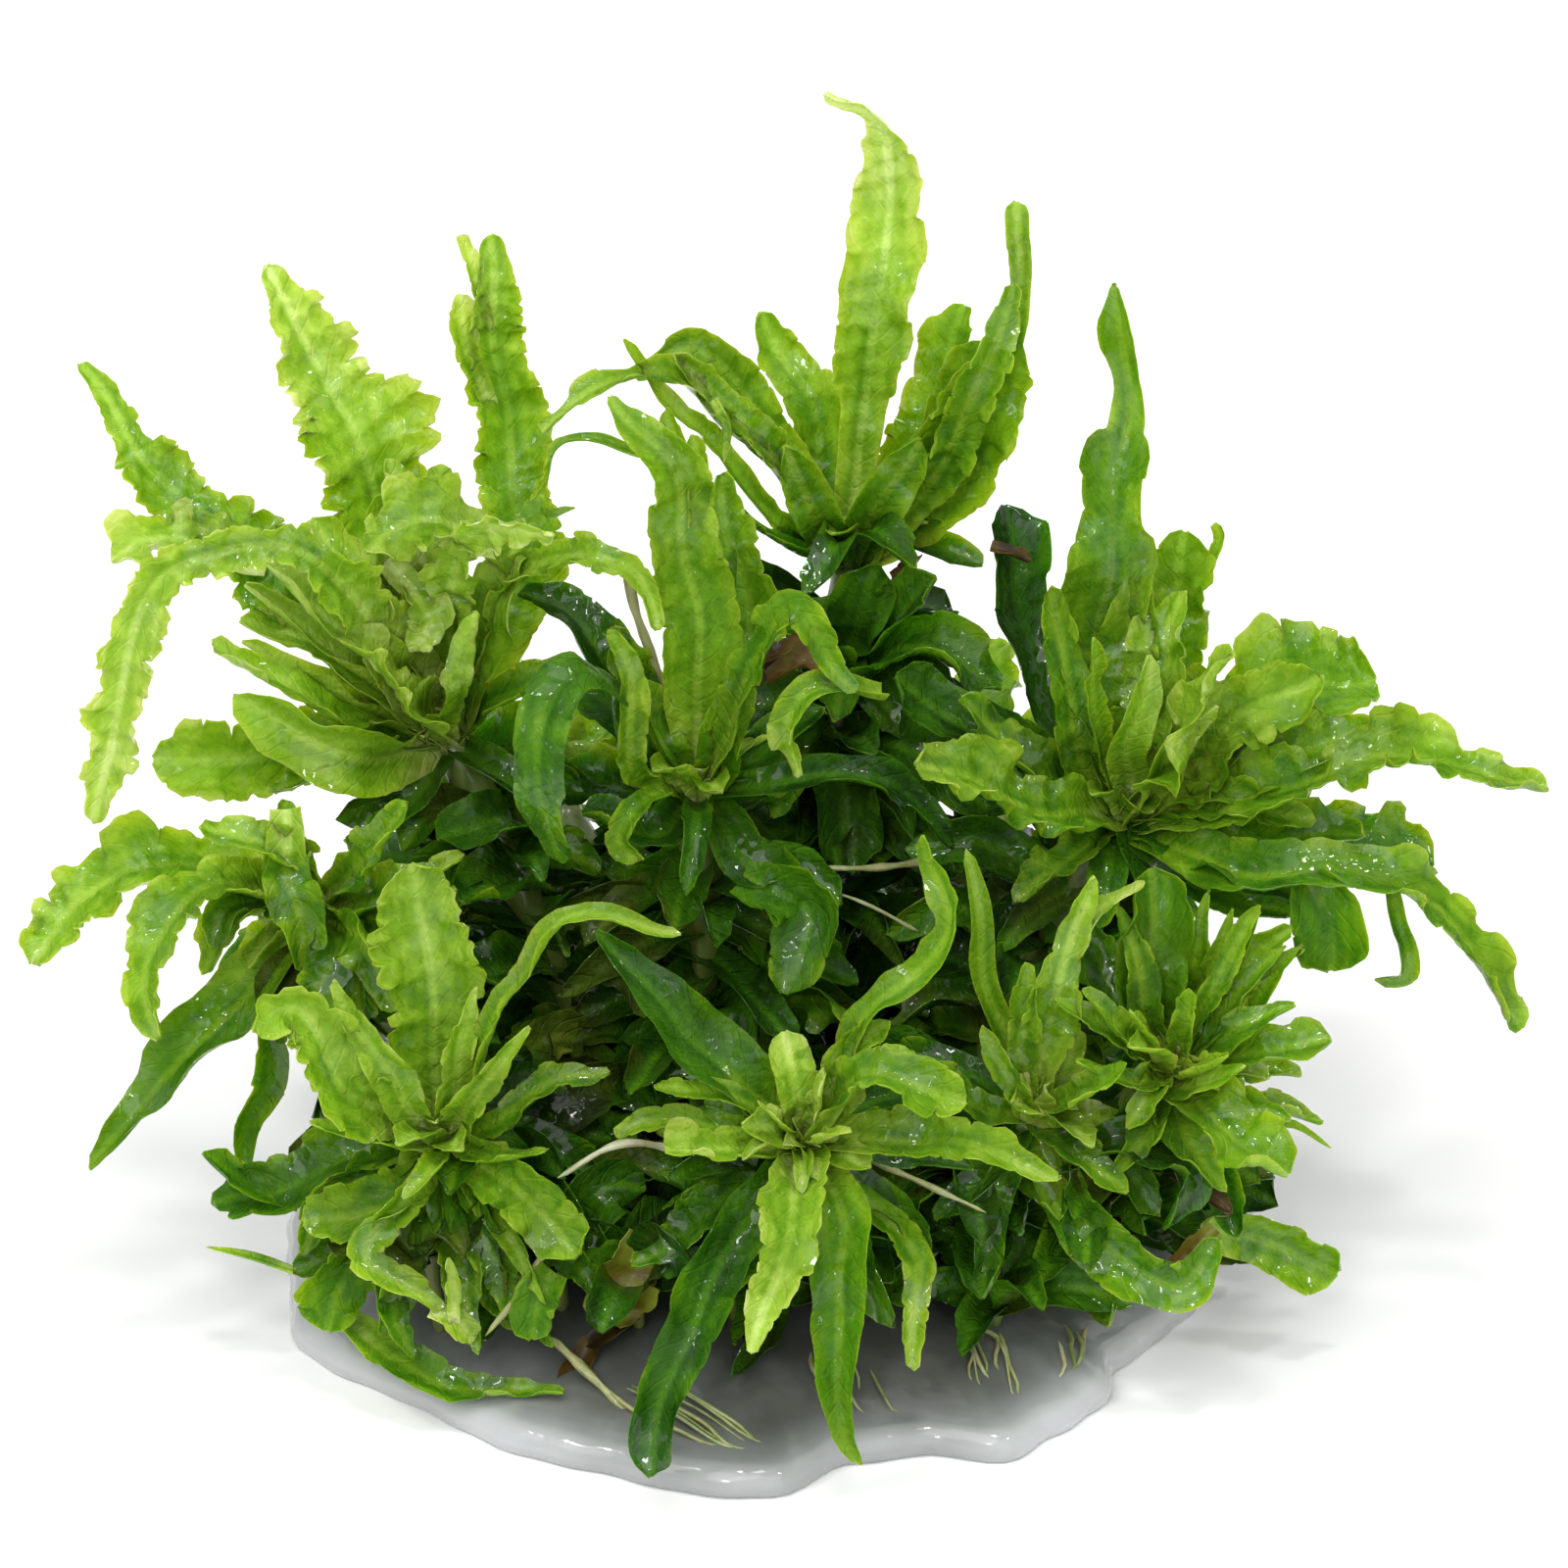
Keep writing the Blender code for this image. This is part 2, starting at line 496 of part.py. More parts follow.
def stem_points(plantlet):
    """The points of the stem and its crown, and the radius at each."""
    points, lean = stem_line(plantlet)
    radii = [STEM_RADIUS] * len(points)
    shoulder = lean * CROWN_RADIUS / 2.0
    points += [plantlet.crown - shoulder, plantlet.crown + shoulder]
    radii += [CROWN_RADIUS, CROWN_RADIUS * CROWN_TOP]
    return points, radii


def make_stem(plantlet, collection, cutters):
    """A stem with its crown, and the small heart leaves joined to it."""
    name = plantlet.name + "_stem"
    points, radii = stem_points(plantlet)
    curve = bpy.data.curves.new(name, "CURVE")
    curve.dimensions = "3D"
    curve.bevel_depth = MM
    curve.bevel_resolution = 1
    curve.use_fill_caps = True
    spline = curve.splines.new("POLY")
    spline.points.add(len(points) - 1)
    for target, point, radius in zip(spline.points, points, radii):
        target.co = (*(point * MM), 1.0)
        target.radius = radius
    tube = bpy.data.objects.new(name + "_line", curve)
    cutters.objects.link(tube)
    bpy.context.view_layer.update()
    evaluated = tube.evaluated_get(bpy.context.evaluated_depsgraph_get())
    mesh = bpy.data.meshes.new_from_object(evaluated)
    bpy.data.objects.remove(tube, do_unlink=True)
    body = bmesh.new()
    body.from_mesh(mesh)
    bmesh.ops.remove_doubles(body, verts=body.verts, dist=0.00001)
    body.to_mesh(mesh)
    body.free()
    stem = add_object(name, mesh, collection, "stem")
    for number, leaf in enumerate(plantlet.small, start=1):
        blade_name = f"{plantlet.name}_small_leaf_{number}"
        origin = leaf_origin(plantlet, leaf)
        blade = leaf_mesh(blade_name, origin, leaf, SMALL_BLADE_STATIONS, SMALL_BLADE_START)
        cutter = add_object(blade_name, blade, cutters, leaf.tone)
        thicken(cutter)
        cutter.hide_render = True
        cutter.display_type = "WIRE"
        union = stem.modifiers.new(blade_name, "BOOLEAN")
        union.operation = "UNION"
        union.solver = "EXACT"
        union.object = cutter
    return stem


def make_leaves(plantlet, collection):
    for number, leaf in enumerate(plantlet.large, start=1):
        name = f"{plantlet.name}_leaf_{number}"
        stations = leaf.stations(plantlet.crown)
        mesh = leaf_mesh(name, plantlet.crown, leaf, stations, CROWN_RADIUS + GAP)
        thicken(add_object(name, mesh, collection, leaf.tone))


def main():
    clear_scene()
    clump = new_collection("pogostemon")
    cutters = new_collection("cutters")
    make_gel(clump)
    for plantlet in PLANTLETS:
        make_stem(plantlet, clump, cutters)
        make_leaves(plantlet, clump)


main()
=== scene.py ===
import math
import random
from functools import partial

import bpy
import numpy as np
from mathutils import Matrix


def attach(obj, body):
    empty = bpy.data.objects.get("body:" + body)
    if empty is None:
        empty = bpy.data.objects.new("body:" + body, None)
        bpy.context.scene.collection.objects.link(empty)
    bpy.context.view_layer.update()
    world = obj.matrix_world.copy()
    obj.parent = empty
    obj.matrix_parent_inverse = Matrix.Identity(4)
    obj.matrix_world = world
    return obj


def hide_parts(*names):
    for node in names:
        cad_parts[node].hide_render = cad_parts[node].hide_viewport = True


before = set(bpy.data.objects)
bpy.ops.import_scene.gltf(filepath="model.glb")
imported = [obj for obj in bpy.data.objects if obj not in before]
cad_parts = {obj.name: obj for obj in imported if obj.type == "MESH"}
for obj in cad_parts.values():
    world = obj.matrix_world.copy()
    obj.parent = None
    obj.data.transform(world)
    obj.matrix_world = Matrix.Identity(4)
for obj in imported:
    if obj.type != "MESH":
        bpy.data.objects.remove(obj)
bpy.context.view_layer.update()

MM = 0.001

# How the points of the leaves are written
VIEW_ELEVATION = math.radians(25.0)

# The stems, as the solids have them
STEM_RINGS = 4
STEM_RADIUS = 0.8
STEM_SIDES = 14
CROWN_RADIUS = 1.45
CROWN_LENGTH = 3.2
CROWN_TOP = 0.8
CROWN_ENDS = (-0.5, 0.4)
GAP = 0.35

# The looks of the stems here: how deep they go into the gel, and their tint and lumps
STEM_DEPTH = 1.2
STEM_TINT = 0.35
STEM_LUMPS = 0.08

# The lines that leaves and stems follow, and the random bends and twists of leaves
PATH_SAMPLES = 24
STEM_PATH_STEP = 0.05
ANY_PHASE = (0.0, 6.3)
WANDER_SHARE = 0.03
MOST_WANDER = 0.35
WANDER_LENGTH = (1.2, 2.4)
MOST_TWIST = 0.35
TWIST_AT_BASE = -0.3

# The blades: how far from the middle of the crown they start, and how thick they are
BLADE_START = 0.5
SMALL_START = 0.2
BLADE_THICKNESS = 0.17
EDGE_THICKNESS = 0.05
KEEL_THICKNESS = 0.42
KEEL_WIDTH = 0.42
SHARP_RIM = math.radians(62.0)

# The grids that blades are made on
COARSEST_STEP = 0.48
LOBE_STEPS = 6.0
ACROSS_STEP = 0.36
FEWEST_ACROSS = 6
MOST_ACROSS = 18
EDGE_CROWDING = 0.8
TIP_ROUNDING = 0.42

# The face of a blade: the groove over its midrib, its fold, its veins and the bumps between them
GROOVE_DEPTH = 0.10
GROOVE_WIDTH = 0.26
FOLD = 0.16
FLATTEST_CUP = 0.05
CUP_CHANGE = 0.4
VEIN_SPACING = 1.35
VEIN_SLANT = 1.25
QUILT_DEPTH = 0.045
SLOW_WAVE = 0.28

# The edge of a blade: where along it the ruffles grow, its swells, and the least frill of a ruffle
RUFFLES_GROW = (0.10, 0.48)
SWELL_LENGTH = (0.7, 1.3)
SWELL_SHARE = 0.5
FRILLED = 0.07

# How uneven the lobes of an edge are: their lengths, and how deep, full and high they are
LOBE_SPREAD = (0.6, 1.7)
NOTCH_SPREAD = (0.2, 1.6)
BULGE_SPREAD = (-0.2, 0.6)
RISE_SPREAD = (0.3, 1.7)
LOBE_ROUNDNESS = 0.5
LOBE_FAN = 0.13
SCALLOP_DEPTH = 0.16
SCALLOP_SHARE = 0.6

# How much paler a leaf is at its base, on its frills, where its lobes stand up, and underneath. The
# paler base is partly young tissue and partly painted light against the shade in the crown, and the
# paler rising lobes are a painted highlight, with painted shade on the lobes that dip.
BASE_PALING_AND_LIGHT = 0.38
EDGE_PALING = 0.20
LOBE_HIGHLIGHT_AND_SHADE = 0.10
UNDERSIDE_PALING = 0.05

# The way that the sides of stalks and roots are counted from, and how sharply their ends close
TUBE_FACE = np.array((0.31, 0.22, 0.92))
TUBE_END_ROUNDING = 24

# The gel pad, as the solid has it: its edge as (degrees, radius), and its heights. Here it also has
# a rounded rim, and a foot that is set in a little.
GEL_EDGE = [
    (10, 29.5), (21, 30.4), (38, 30.6), (60, 29.6), (82, 28.8), (106, 28.6), (128, 29.2),
    (150, 29.6), (170, 29.4), (192, 29.6), (204, 31.0), (222, 29.0), (248, 29.7), (269, 31.0),
    (280, 27.0), (289, 27.2), (297, 29.8), (305, 28.6), (313, 28.0), (323, 25.4), (333, 25.8),
    (345, 26.4), (357, 26.9),
]
GEL_EDGE_HEIGHT = 0.9
GEL_RIM_HEIGHT = 2.2
GEL_DOME_HEIGHT = 3.6
GEL_FOOT_INSET = 0.985
GEL_FOOT_SHARE = 0.35
GEL_ROUNDED = 0.95
GEL_HUB = 0.004
GEL_SPOKES = 200
GEL_TOP_RINGS = 34
GEL_RIM_RINGS = 10

# Which way the face of a leaf looks
UPWARD = np.array((0.0, -0.5, 0.87))
FORWARD = np.array((0.0, -1.0, 0.3))
BACKWARD = np.array((0.0, 0.5, 0.87))

# Outlines: the width at even steps from the base to the tip, as a share of the full width
STRAP = (0.60, 0.78, 0.94, 1.0, 0.86, 0.40)
BROAD = (0.55, 0.76, 0.95, 1.0, 1.0, 0.82)
STALKED = (0.36, 0.40, 0.60, 1.0, 0.95, 0.50)
RIBBON = (0.60, 0.84, 0.92, 1.0, 0.80, 0.45)
FLAG = (0.45, 0.50, 0.52, 0.58, 0.84, 1.0, 1.0, 1.0, 0.92, 0.62, 0.20, 0.14)
PLUME = (0.60, 0.62, 0.70, 0.88, 1.0, 0.95, 0.78, 0.46, 0.20)
HAND = (0.66, 0.72, 0.78, 0.86, 1.0, 0.98, 0.76, 0.46, 0.18)
SWORD = (0.50, 0.78, 0.95, 1.0, 1.0, 0.96, 0.86, 0.62, 0.34)
NECKED = (0.50, 0.70, 0.86, 0.96, 1.0, 1.0, 0.88, 0.62, 0.76, 0.38, 0.28, 0.40, 0.08)
KNOBBED = (0.40, 0.66, 0.92, 1.0, 1.0, 0.98, 0.72, 0.28, 0.20, 0.28, 0.24)
TAILED = (0.50, 0.80, 1.0, 1.0, 0.90, 0.52, 0.84, 0.96, 0.60, 0.52, 0.30)
CLUBBED = (0.40, 0.52, 0.64, 0.70, 0.72, 0.94, 1.0)
TAPERED = (0.55, 0.74, 0.94, 1.0, 0.92, 0.72, 0.44, 0.16)
BLUNT = (0.62, 0.76, 0.88, 0.96, 1.0, 0.98)
HANGING = (0.75, 1.0, 1.0, 0.90, 0.60, 0.55, 0.66, 0.74, 0.74, 0.66, 0.34)
RAGGED = (0.50, 0.66, 0.85, 1.0, 1.0, 0.95, 0.80, 0.52, 0.14)
BAND = (0.60, 0.84, 0.96, 1.0, 1.0, 0.95, 0.86, 0.80, 0.70)
KNOTTED = (0.45, 0.55, 0.62, 0.66, 0.68, 0.66, 0.62, 0.60, 0.72, 1.0, 0.28, 0.95, 0.26, 0.42)

# How each tone of leaf is shaped and coloured where nothing else is said. frill is how deep its
# edge is cut, wave how far the edge stands up and down, lobe the length of one wave, cup how far
# its sides turn up, crumple how high its bumps are, and tint the colour at its base and tip, from 0
# for deepest to 1 for palest.
FORMS = {
    "pale_leaf": {"frill": 0.40, "wave": 0.50, "lobe": 1.1, "cup": 0.45, "crumple": 0.14,
                  "tint": (0.48, 0.80)},
    "bright_leaf": {"frill": 0.28, "wave": 0.36, "lobe": 1.3, "cup": 0.7, "crumple": 0.09,
                    "tint": (0.42, 0.60)},
    "deep_leaf": {"frill": 0.10, "wave": 0.22, "lobe": 2.1, "cup": 0.8, "crumple": 0.06,
                  "tint": (0.17, 0.26)},
}


class Leaf:
    """One leaf: its width, the points that its midrib passes after its base, and its looks.

    It starts at its root where it has one, at a share of the way up the stem where its base is below
    1, and otherwise in the crown. Coarse is how much wider the cells of its mesh are than usual.
    """

    def __init__(self, tone, width, *points, outline=STRAP, face=UPWARD, base=1.0, root=None,
                 twist=0.0, coarse=1.0, **looks):
        form = {**FORMS[tone], **looks}
        self.tone = tone
        self.width = width
        self.points = [seen_point(*point) for point in points]
        self.outline = outline
        self.face = face
        self.base = base
        self.root = None if root is None else seen_point(*root)
        self.twist = math.radians(twist)
        self.coarse = coarse
        self.frill = form["frill"]
        self.wave = form["wave"]
        self.lobe = form["lobe"]
        self.cup = form["cup"]
        self.crumple = form["crumple"]
        self.tint = form["tint"]


pale = partial(Leaf, "pale_leaf")
bright = partial(Leaf, "bright_leaf")
deep = partial(Leaf, "deep_leaf")


class Plantlet:
    """One rosette: its crown, the foot of its stem on the gel, and its leaves.

    Each large leaf stands for a solid of its own. The solid of the stem has the small ones, and the
    extra ones are only here. Filling is how many dark leaves cover its stem; their darkness is partly
    painted shade inside the clump.
    """

    def __init__(self, name, crown, foot, filling=30):
        self.name = name
        self.crown = np.array(crown, float)
        self.foot = np.array(foot, float)
        self.filling = filling
        self.large = []
        self.small = []
        self.extra = []


def seen_point(across, seen, away):
    """A point in millimetres from how it looks from the front, and how far in it is."""
    height = (seen - away * math.sin(VIEW_ELEVATION)) / math.cos(VIEW_ELEVATION)
    return np.array((across, away, height))


# The plantlets: four tall ones, five lower ones, and two that are hidden behind. A leaf is given by
# its width, its points and its looks.

UPPER_LEFT = Plantlet("upper_left", crown=(-19.4, 6, 31.4), foot=(-12, 4))
UPPER_LEFT.large = [
    pale(4.8, (-28.8, 39.3, 5.5), (-37, 47.5, 10), (-41.2, 53.3, 12), outline=PLUME, tint=(0.38, 0.62)),
    pale(7.9, (-23, 40, 11.5), (-25, 48.5, 15), (-30.8, 59.7, 18), outline=HAND, tint=(0.44, 0.84),
         wave=0.5),
    pale(4.9, (-15, 42, 12), (-16.2, 50, 16), (-16.8, 60.8, 18), outline=SWORD, tint=(0.44, 0.62),
         frill=0.26, wave=0.3),
    pale(4.4, (-27, 41.4, -1), (-35, 40.5, -3), (-38.2, 34, -4), (-40, 25.8, -4), outline=HANGING,
         face=FORWARD, tint=(0.52, 0.84), frill=0.42),
    bright(5, (-28.4, 29.8, 2.6), (-36.5, 29.6, 1), outline=BLUNT, face=FORWARD, tint=(0.44, 0.68),
           frill=0.28, lobe=1.3),
]
UPPER_LEFT.small = [
    bright(2.5, (-15.5, 41, 4), (-9, 41.2, 0), (-7.8, 37.6, -2), tint=(0.5, 0.66)),
    pale(3, (-18.8, 42.5, 2.5), (-13.4, 43.4, -0.5)),
    bright(3.2, (-26.5, 32.6, 0.5), (-33, 36, -1), tint=(0.46, 0.68), frill=0.26, wave=0.5, lobe=1.7),
    deep(3.6, (-20, 23.3, 9), (-26, 25, 12.5), base=0.5),
    deep(3.6, (-15, 24.8, 10.5), (-15, 28.5, 16.5), base=0.5),
]
UPPER_LEFT.extra = [
    pale(4.6, (-20.2, 44, 3), (-23.8, 42, 1.5), root=(-16.6, 42.4, 4), tint=(0.54, 0.72)),
    pale(2.4, (-20.1, 37.9, 2.5), (-21.4, 36, 2), root=(-22.9, 41.6, 5), tint=(0.6, 0.78)),
    pale(4.4, (-36, 42.5, 7), (-39.4, 41.4, 6), root=(-30, 41.6, 6.5), outline=BLUNT, tint=(0.62, 0.82)),
    bright(2.4, (-25, 35.4, 2.5), (-30.5, 39.6, 2.8), tint=(0.58, 0.72), frill=0.04, wave=0.1, cup=1.6),
    bright(2.1, (-25.5, 33.6, 2), (-31, 36.6, 1.5), tint=(0.58, 0.72), frill=0.04, wave=0.1, cup=1.6),
    bright(5.4, (-23, 37, 4), (-27.6, 44, 7), tint=(0.64, 0.76), frill=0.06, wave=0.14),
    bright(4.2, (-24, 34.6, 3), (-31.5, 38.4, 4), tint=(0.62, 0.74), frill=0.06, wave=0.12),
    bright(3.4, (-24.2, 36.4, 1.5), (-30.2, 41.6, 2.5), tint=(0.66, 0.76), frill=0.05, wave=0.1, cup=1.1),
    deep(4.6, (-17.5, 30, 8), (-13, 31.6, 7), root=(-18.6, 28, 6.5)),
    deep(4.4, (-15, 28.4, 7), (-10.6, 28, 6), root=(-17, 26.4, 6)),
    deep(4.4, (-20, 27, 8), (-23.4, 28, 9), root=(-17.4, 26, 6)),
    bright(4.2, (-20.5, 38.5, 5), (-20, 47, 9), tint=(0.58, 0.68), frill=0.1),
    bright(4.4, (-22.4, 38.8, 4.4), (-23.4, 47.5, 8), tint=(0.6, 0.7), frill=0.1),
    bright(3.8, (-17.2, 38, 4), (-15, 44, 6.5), tint=(0.5, 0.62), frill=0.1),
    bright(4.4, (-25.4, 29.8, -1.5), (-31.6, 33.8, -2), face=FORWARD, tint=(0.56, 0.68), frill=0.05,
           wave=0.1),
    bright(4, (-21, 33.6, 0.5), (-25.4, 37, 0), tint=(0.62, 0.72), frill=0.08),
    bright(3.4, (-18.6, 33, 1), (-17.2, 38.2, 0.5), tint=(0.46, 0.6), frill=0.08),
    deep(4.4, (-15.5, 22.5, 1), (-18.8, 21, -3), root=(-13.8, 22.5, 3.5)),
    deep(4.4, (-16.6, 17.6, -1), (-20.6, 18.6, -4), root=(-13.4, 17.5, 3)),
    deep(4, (-16, 26.4, 2.5), (-19.6, 25, -1), root=(-15.4, 25.6, 4.5)),
    pale(1, (-17.6, 58, 17.2), (-18.6, 60.8, 17.5), root=(-17, 55.5, 17.1), outline=BLUNT),
    pale(1.6, (-18.4, 54.6, 16), (-19.1, 57.4, 16.5), root=(-17, 51, 16.3), outline=BLUNT),
    bright(3.2, (-22, 36.5, 6), (-23.5, 43, 9.5), tint=(0.42, 0.6)),
    bright(2.6, (-18, 35.5, 5), (-17.4, 40.5, 8), tint=(0.4, 0.56)),
    bright(2.8, (-25, 30, 1), (-30, 28, -2), tint=(0.34, 0.5)),
    deep(2.8, (-21.5, 27.4, 2), (-24, 24.6, -0.5)),
    deep(2.8, (-16.5, 29, 3), (-12.5, 26.5, 1)),
    bright(2.6, (-15.5, 33.5, 3.5), (-11, 35.6, 2), tint=(0.3, 0.44)),
]

UPPER_BACK = Plantlet("upper_back", crown=(4.5, 18, 37.5), foot=(3, 12), filling=64)
UPPER_BACK.large = [
    pale(4.8, (5.2, 50, 19), (6.5, 60, 20), (6.5, 67.2, 20), (3, 69.3, 19), outline=FLAG, face=FORWARD,
         tint=(0.48, 0.96), frill=0.14, wave=0.3, lobe=1.8),
    bright(4.6, (8.7, 48.7, 21), (11.6, 57.4, 25), tint=(0.44, 0.58), frill=0.12, wave=0.25),
    bright(6, (10.6, 48.2, 17), (14.2, 55.5, 16), (14.2, 62.9, 16), outline=KNOBBED, face=FORWARD,
           tint=(0.4, 0.64), frill=0.16, wave=0.25),
    bright(3, (0.3, 49.2, 19), (-4.6, 54.6, 19), (-8, 52.9, 17), tint=(0.42, 0.6), frill=0.14, wave=0.2),
    bright(3.9, (2.6, 48.5, 23), (-0.2, 57.2, 26), tint=(0.4, 0.64), frill=0.14, wave=0.25),
]
UPPER_BACK.small = [
    bright(2.5, (-0.5, 48, 14), (-5.2, 52.2, 11), (-9.2, 52.5, 10), (-11.6, 51.5, 9.5), (-13.7, 49.2, 9),
           outline=KNOTTED, tint=(0.42, 0.62), frill=0.2, lobe=1.2),
    deep(3.5, (7, 45, 25), (10, 46, 32)),
    deep(1.8, (1.8, 42.4, 14.5), (-2.7, 45, 11)),
    deep(3.8, (8, 29.5, 18.5), (12, 33.7, 24), base=0.5),
    deep(3.8, (-0.5, 30.9, 19.5), (-5, 35, 25), base=0.5),
    deep(3.8, (4.5, 35.6, 22), (5, 38, 29), base=0.67),
    deep(3.4, (4.8, 31.6, 10.5), (6, 30.1, 7), base=0.67),
]
UPPER_BACK.extra = [
    bright(2.6, (1, 46.5, 15.5), (-3, 51, 13), (-6.2, 54, 11), tint=(0.42, 0.6)),
    bright(1.5, (0, 44.6, 13.5), (-4.4, 49.4, 11), (-8.4, 54, 10), tint=(0.4, 0.56), frill=0.04),
    bright(3, (9, 46, 15.5), (12.5, 53, 14.5), (13.6, 57.4, 14.5), face=FORWARD, tint=(0.4, 0.54)),
    bright(0.5, (-2.8, 49.5, 11), (-3, 47.6, 10.6), root=(-3.6, 51.2, 11.5), frill=0, wave=0.05),
    bright(4.6, (9.8, 47, 18), (13.2, 55, 20), outline=BROAD, face=FORWARD, tint=(0.36, 0.54), frill=0.12,
           wave=0.2),
    bright(3.4, (6.8, 44.8, 15.5), (8.8, 49, 15), face=FORWARD, tint=(0.36, 0.5), frill=0.06),
    bright(3.2, (2.6, 44.6, 15), (0.6, 48.4, 14), face=FORWARD, tint=(0.36, 0.5), frill=0.06),
    deep(4.6, (9.5, 36.5, 9), (13.5, 34, 8), root=(4.2, 34.5, 13.5)),
    deep(4.6, (8.5, 30, 8), (12.8, 26.6, 7), root=(4, 31.5, 12.5)),
    deep(4.6, (10, 30.5, 9), (14.5, 31.2, 9), root=(4, 28.5, 12)),
    deep(4.4, (0.5, 33, 9), (-2.8, 31.4, 7.5), root=(3.8, 33, 12.5)),
    deep(3.8, (7, 38, 12), (9.6, 40.4, 10), root=(4.4, 36.8, 14.5)),
    deep(4.4, (2.4, 37.4, 12.5), (-0.6, 38.4, 11.5), root=(4.4, 36, 14.5)),
    deep(4.4, (5.6, 38.6, 13), (6.4, 41.6, 12.5), root=(4.4, 36.4, 14.5)),
    deep(4.6, (0.4, 29, 11), (-3.6, 27.4, 10), root=(3.8, 29.4, 12.5)),
    deep(4.6, (1, 25.6, 10), (-2.8, 23.6, 9), root=(3.6, 26.4, 12)),
    deep(4.6, (7.4, 26, 10), (11.2, 23, 9), root=(3.8, 26.8, 12)),
    deep(4.6, (4.4, 27, 8.5), (5, 23, 6.5), root=(4, 30, 12), face=FORWARD),
    deep(3, (6, 43.5, 14), (8.4, 41, 11.5)),
    deep(2.4, (8.4, 43, 17), (12.4, 41.5, 16)),
    deep(2.4, (4, 42.6, 13.5), (1.6, 39.6, 11)),
]

MIDDLE = Plantlet("middle", crown=(-4.5, 2, 29.6), foot=(-4, 2))
MIDDLE.large = [
    bright(5, (-4.6, 37, 2), (-5.6, 45.2, 3), (-9.2, 51.2, 3), outline=RAGGED, face=FORWARD,
           tint=(0.48, 0.6), frill=0.13, wave=0.2),
    deep(3.6, (-7.8, 32.6, -2), (-11, 35, -5), (-13.9, 31, -8), (-12.5, 23.4, -9), outline=STALKED,
         tint=(0.32, 0.34), cup=-0.5),
    deep(3.8, (-8.5, 34, 4), (-11.8, 38.4, 6), (-15.6, 40, 7.5), tint=(0.24, 0.18)),
    deep(2.6, (1, 28.5, 0), (6.5, 28.6, 0.5), (11.1, 24.4, 1), tint=(0.2, 0.1)),
]
MIDDLE.small = [
    bright(3.6, (-1.8, 37, 7), (-2.6, 47, 9.5), face=FORWARD, tint=(0.38, 0.58)),
    bright(2.6, (-1.2, 35.5, -2), (0.8, 39.4, -3), (4.9, 34.2, -4.5), tint=(0.38, 0.5), frill=0.2),
    deep(2, (-4.8, 25.6, -3), (-5.2, 21.5, -6), face=FORWARD),
    deep(3.4, (-9, 19.6, 2.5), (-13, 19.4, 3), base=0.5),
    deep(3.6, (0.5, 18.3, 0.5), (5, 16.8, -1), base=0.5),
    deep(3.4, (-4.5, 22.2, 6.5), (-5, 24.6, 11), base=0.5),
]
MIDDLE.extra = [
    deep(4.6, (-1.4, 27.4, 7), (2, 28.6, 8), root=(-4.4, 27, 4)),
    deep(4.6, (-7, 28.6, 7), (-10, 28, 8), root=(-4.6, 27.6, 4)),
    deep(1.3, (-3.4, 34, 5), (-2.4, 42.3, 8)),
    bright(1.6, (-5.9, 48.2, 3.3), (-6.3, 50.4, 3.6), root=(-5.4, 44.6, 2.9), face=FORWARD),
    bright(1.5, (-4.2, 46.8, 3.4), (-4.5, 48.8, 3.8), root=(-4.6, 43.4, 2.8), face=FORWARD),
    bright(2.1, (2.4, 34.2, -4.5), (0.9, 31.7, -5.5), (1.3, 28.6, -5.5), root=(6.4, 33.7, -2),
           tint=(0.36, 0.74), frill=0.1),
    deep(4.2, (1.8, 20.7, -6), (0.4, 16, -8), root=(-1.9, 22.8, -3), outline=BROAD, face=FORWARD,
         tint=(0.26, 0.34), frill=0.34),
    bright(1.7, (-8.6, 27, -5), (-9.3, 24.8, -6), (-7.8, 23.6, -6), root=(-6.4, 28, -2),
           tint=(0.34, 0.56)),
    deep(2.4, (-8.2, 30.4, 0.5), (-9.6, 34.6, 1.5)),
    bright(2, (-8.4, 30.2, -3), (-8, 34.8, -3.6), (-9.4, 37.6, -3.6), tint=(0.4, 0.56), frill=0.2),
    bright(0.9, (-10.6, 48.6, 3.6), (-12.5, 48.2, 4), (-13, 46.2, 4.2), (-14, 45, 4.4),
           root=(-7.8, 47.8, 3.2), outline=KNOTTED, tint=(0.36, 0.52)),
    bright(0.5, (-13.4, 44.2, 4.6), (-11.8, 44.6, 5), root=(-13.4, 45.4, 4.3), tint=(0.34, 0.5), frill=0,
           wave=0.05),
    deep(3.2, (-0.8, 31, 3), (3, 33, 4.5)),
    deep(3.6, (-7.4, 25.6, -1), (-11.4, 26.6, -2)),
    bright(3.4, (-7.2, 32.2, 3.5), (-9.6, 37.6, 4.5), tint=(0.34, 0.5)),
    deep(4.6, (-7.6, 30.6, 6), (-11.6, 34.4, 9)),
    deep(4.6, (-8, 28, 5), (-12.4, 29.6, 7)),
    deep(4.4, (-6, 22.6, 2), (-9.4, 19, 1), root=(-4.4, 24.6, 2.4)),
    deep(4.4, (-3, 21.6, 2), (0.6, 19, 1), root=(-4.4, 23.6, 2.4)),
    deep(3.6, (-1.6, 24.6, -1), (1.8, 22.6, -3)),
    bright(3.2, (-2.6, 31, 0.5), (-1.2, 34.8, 0.5), tint=(0.36, 0.5), frill=0.08),
    bright(3, (-6.8, 30.4, 1), (-8, 34.6, 1.5), tint=(0.34, 0.5), frill=0.08),
]

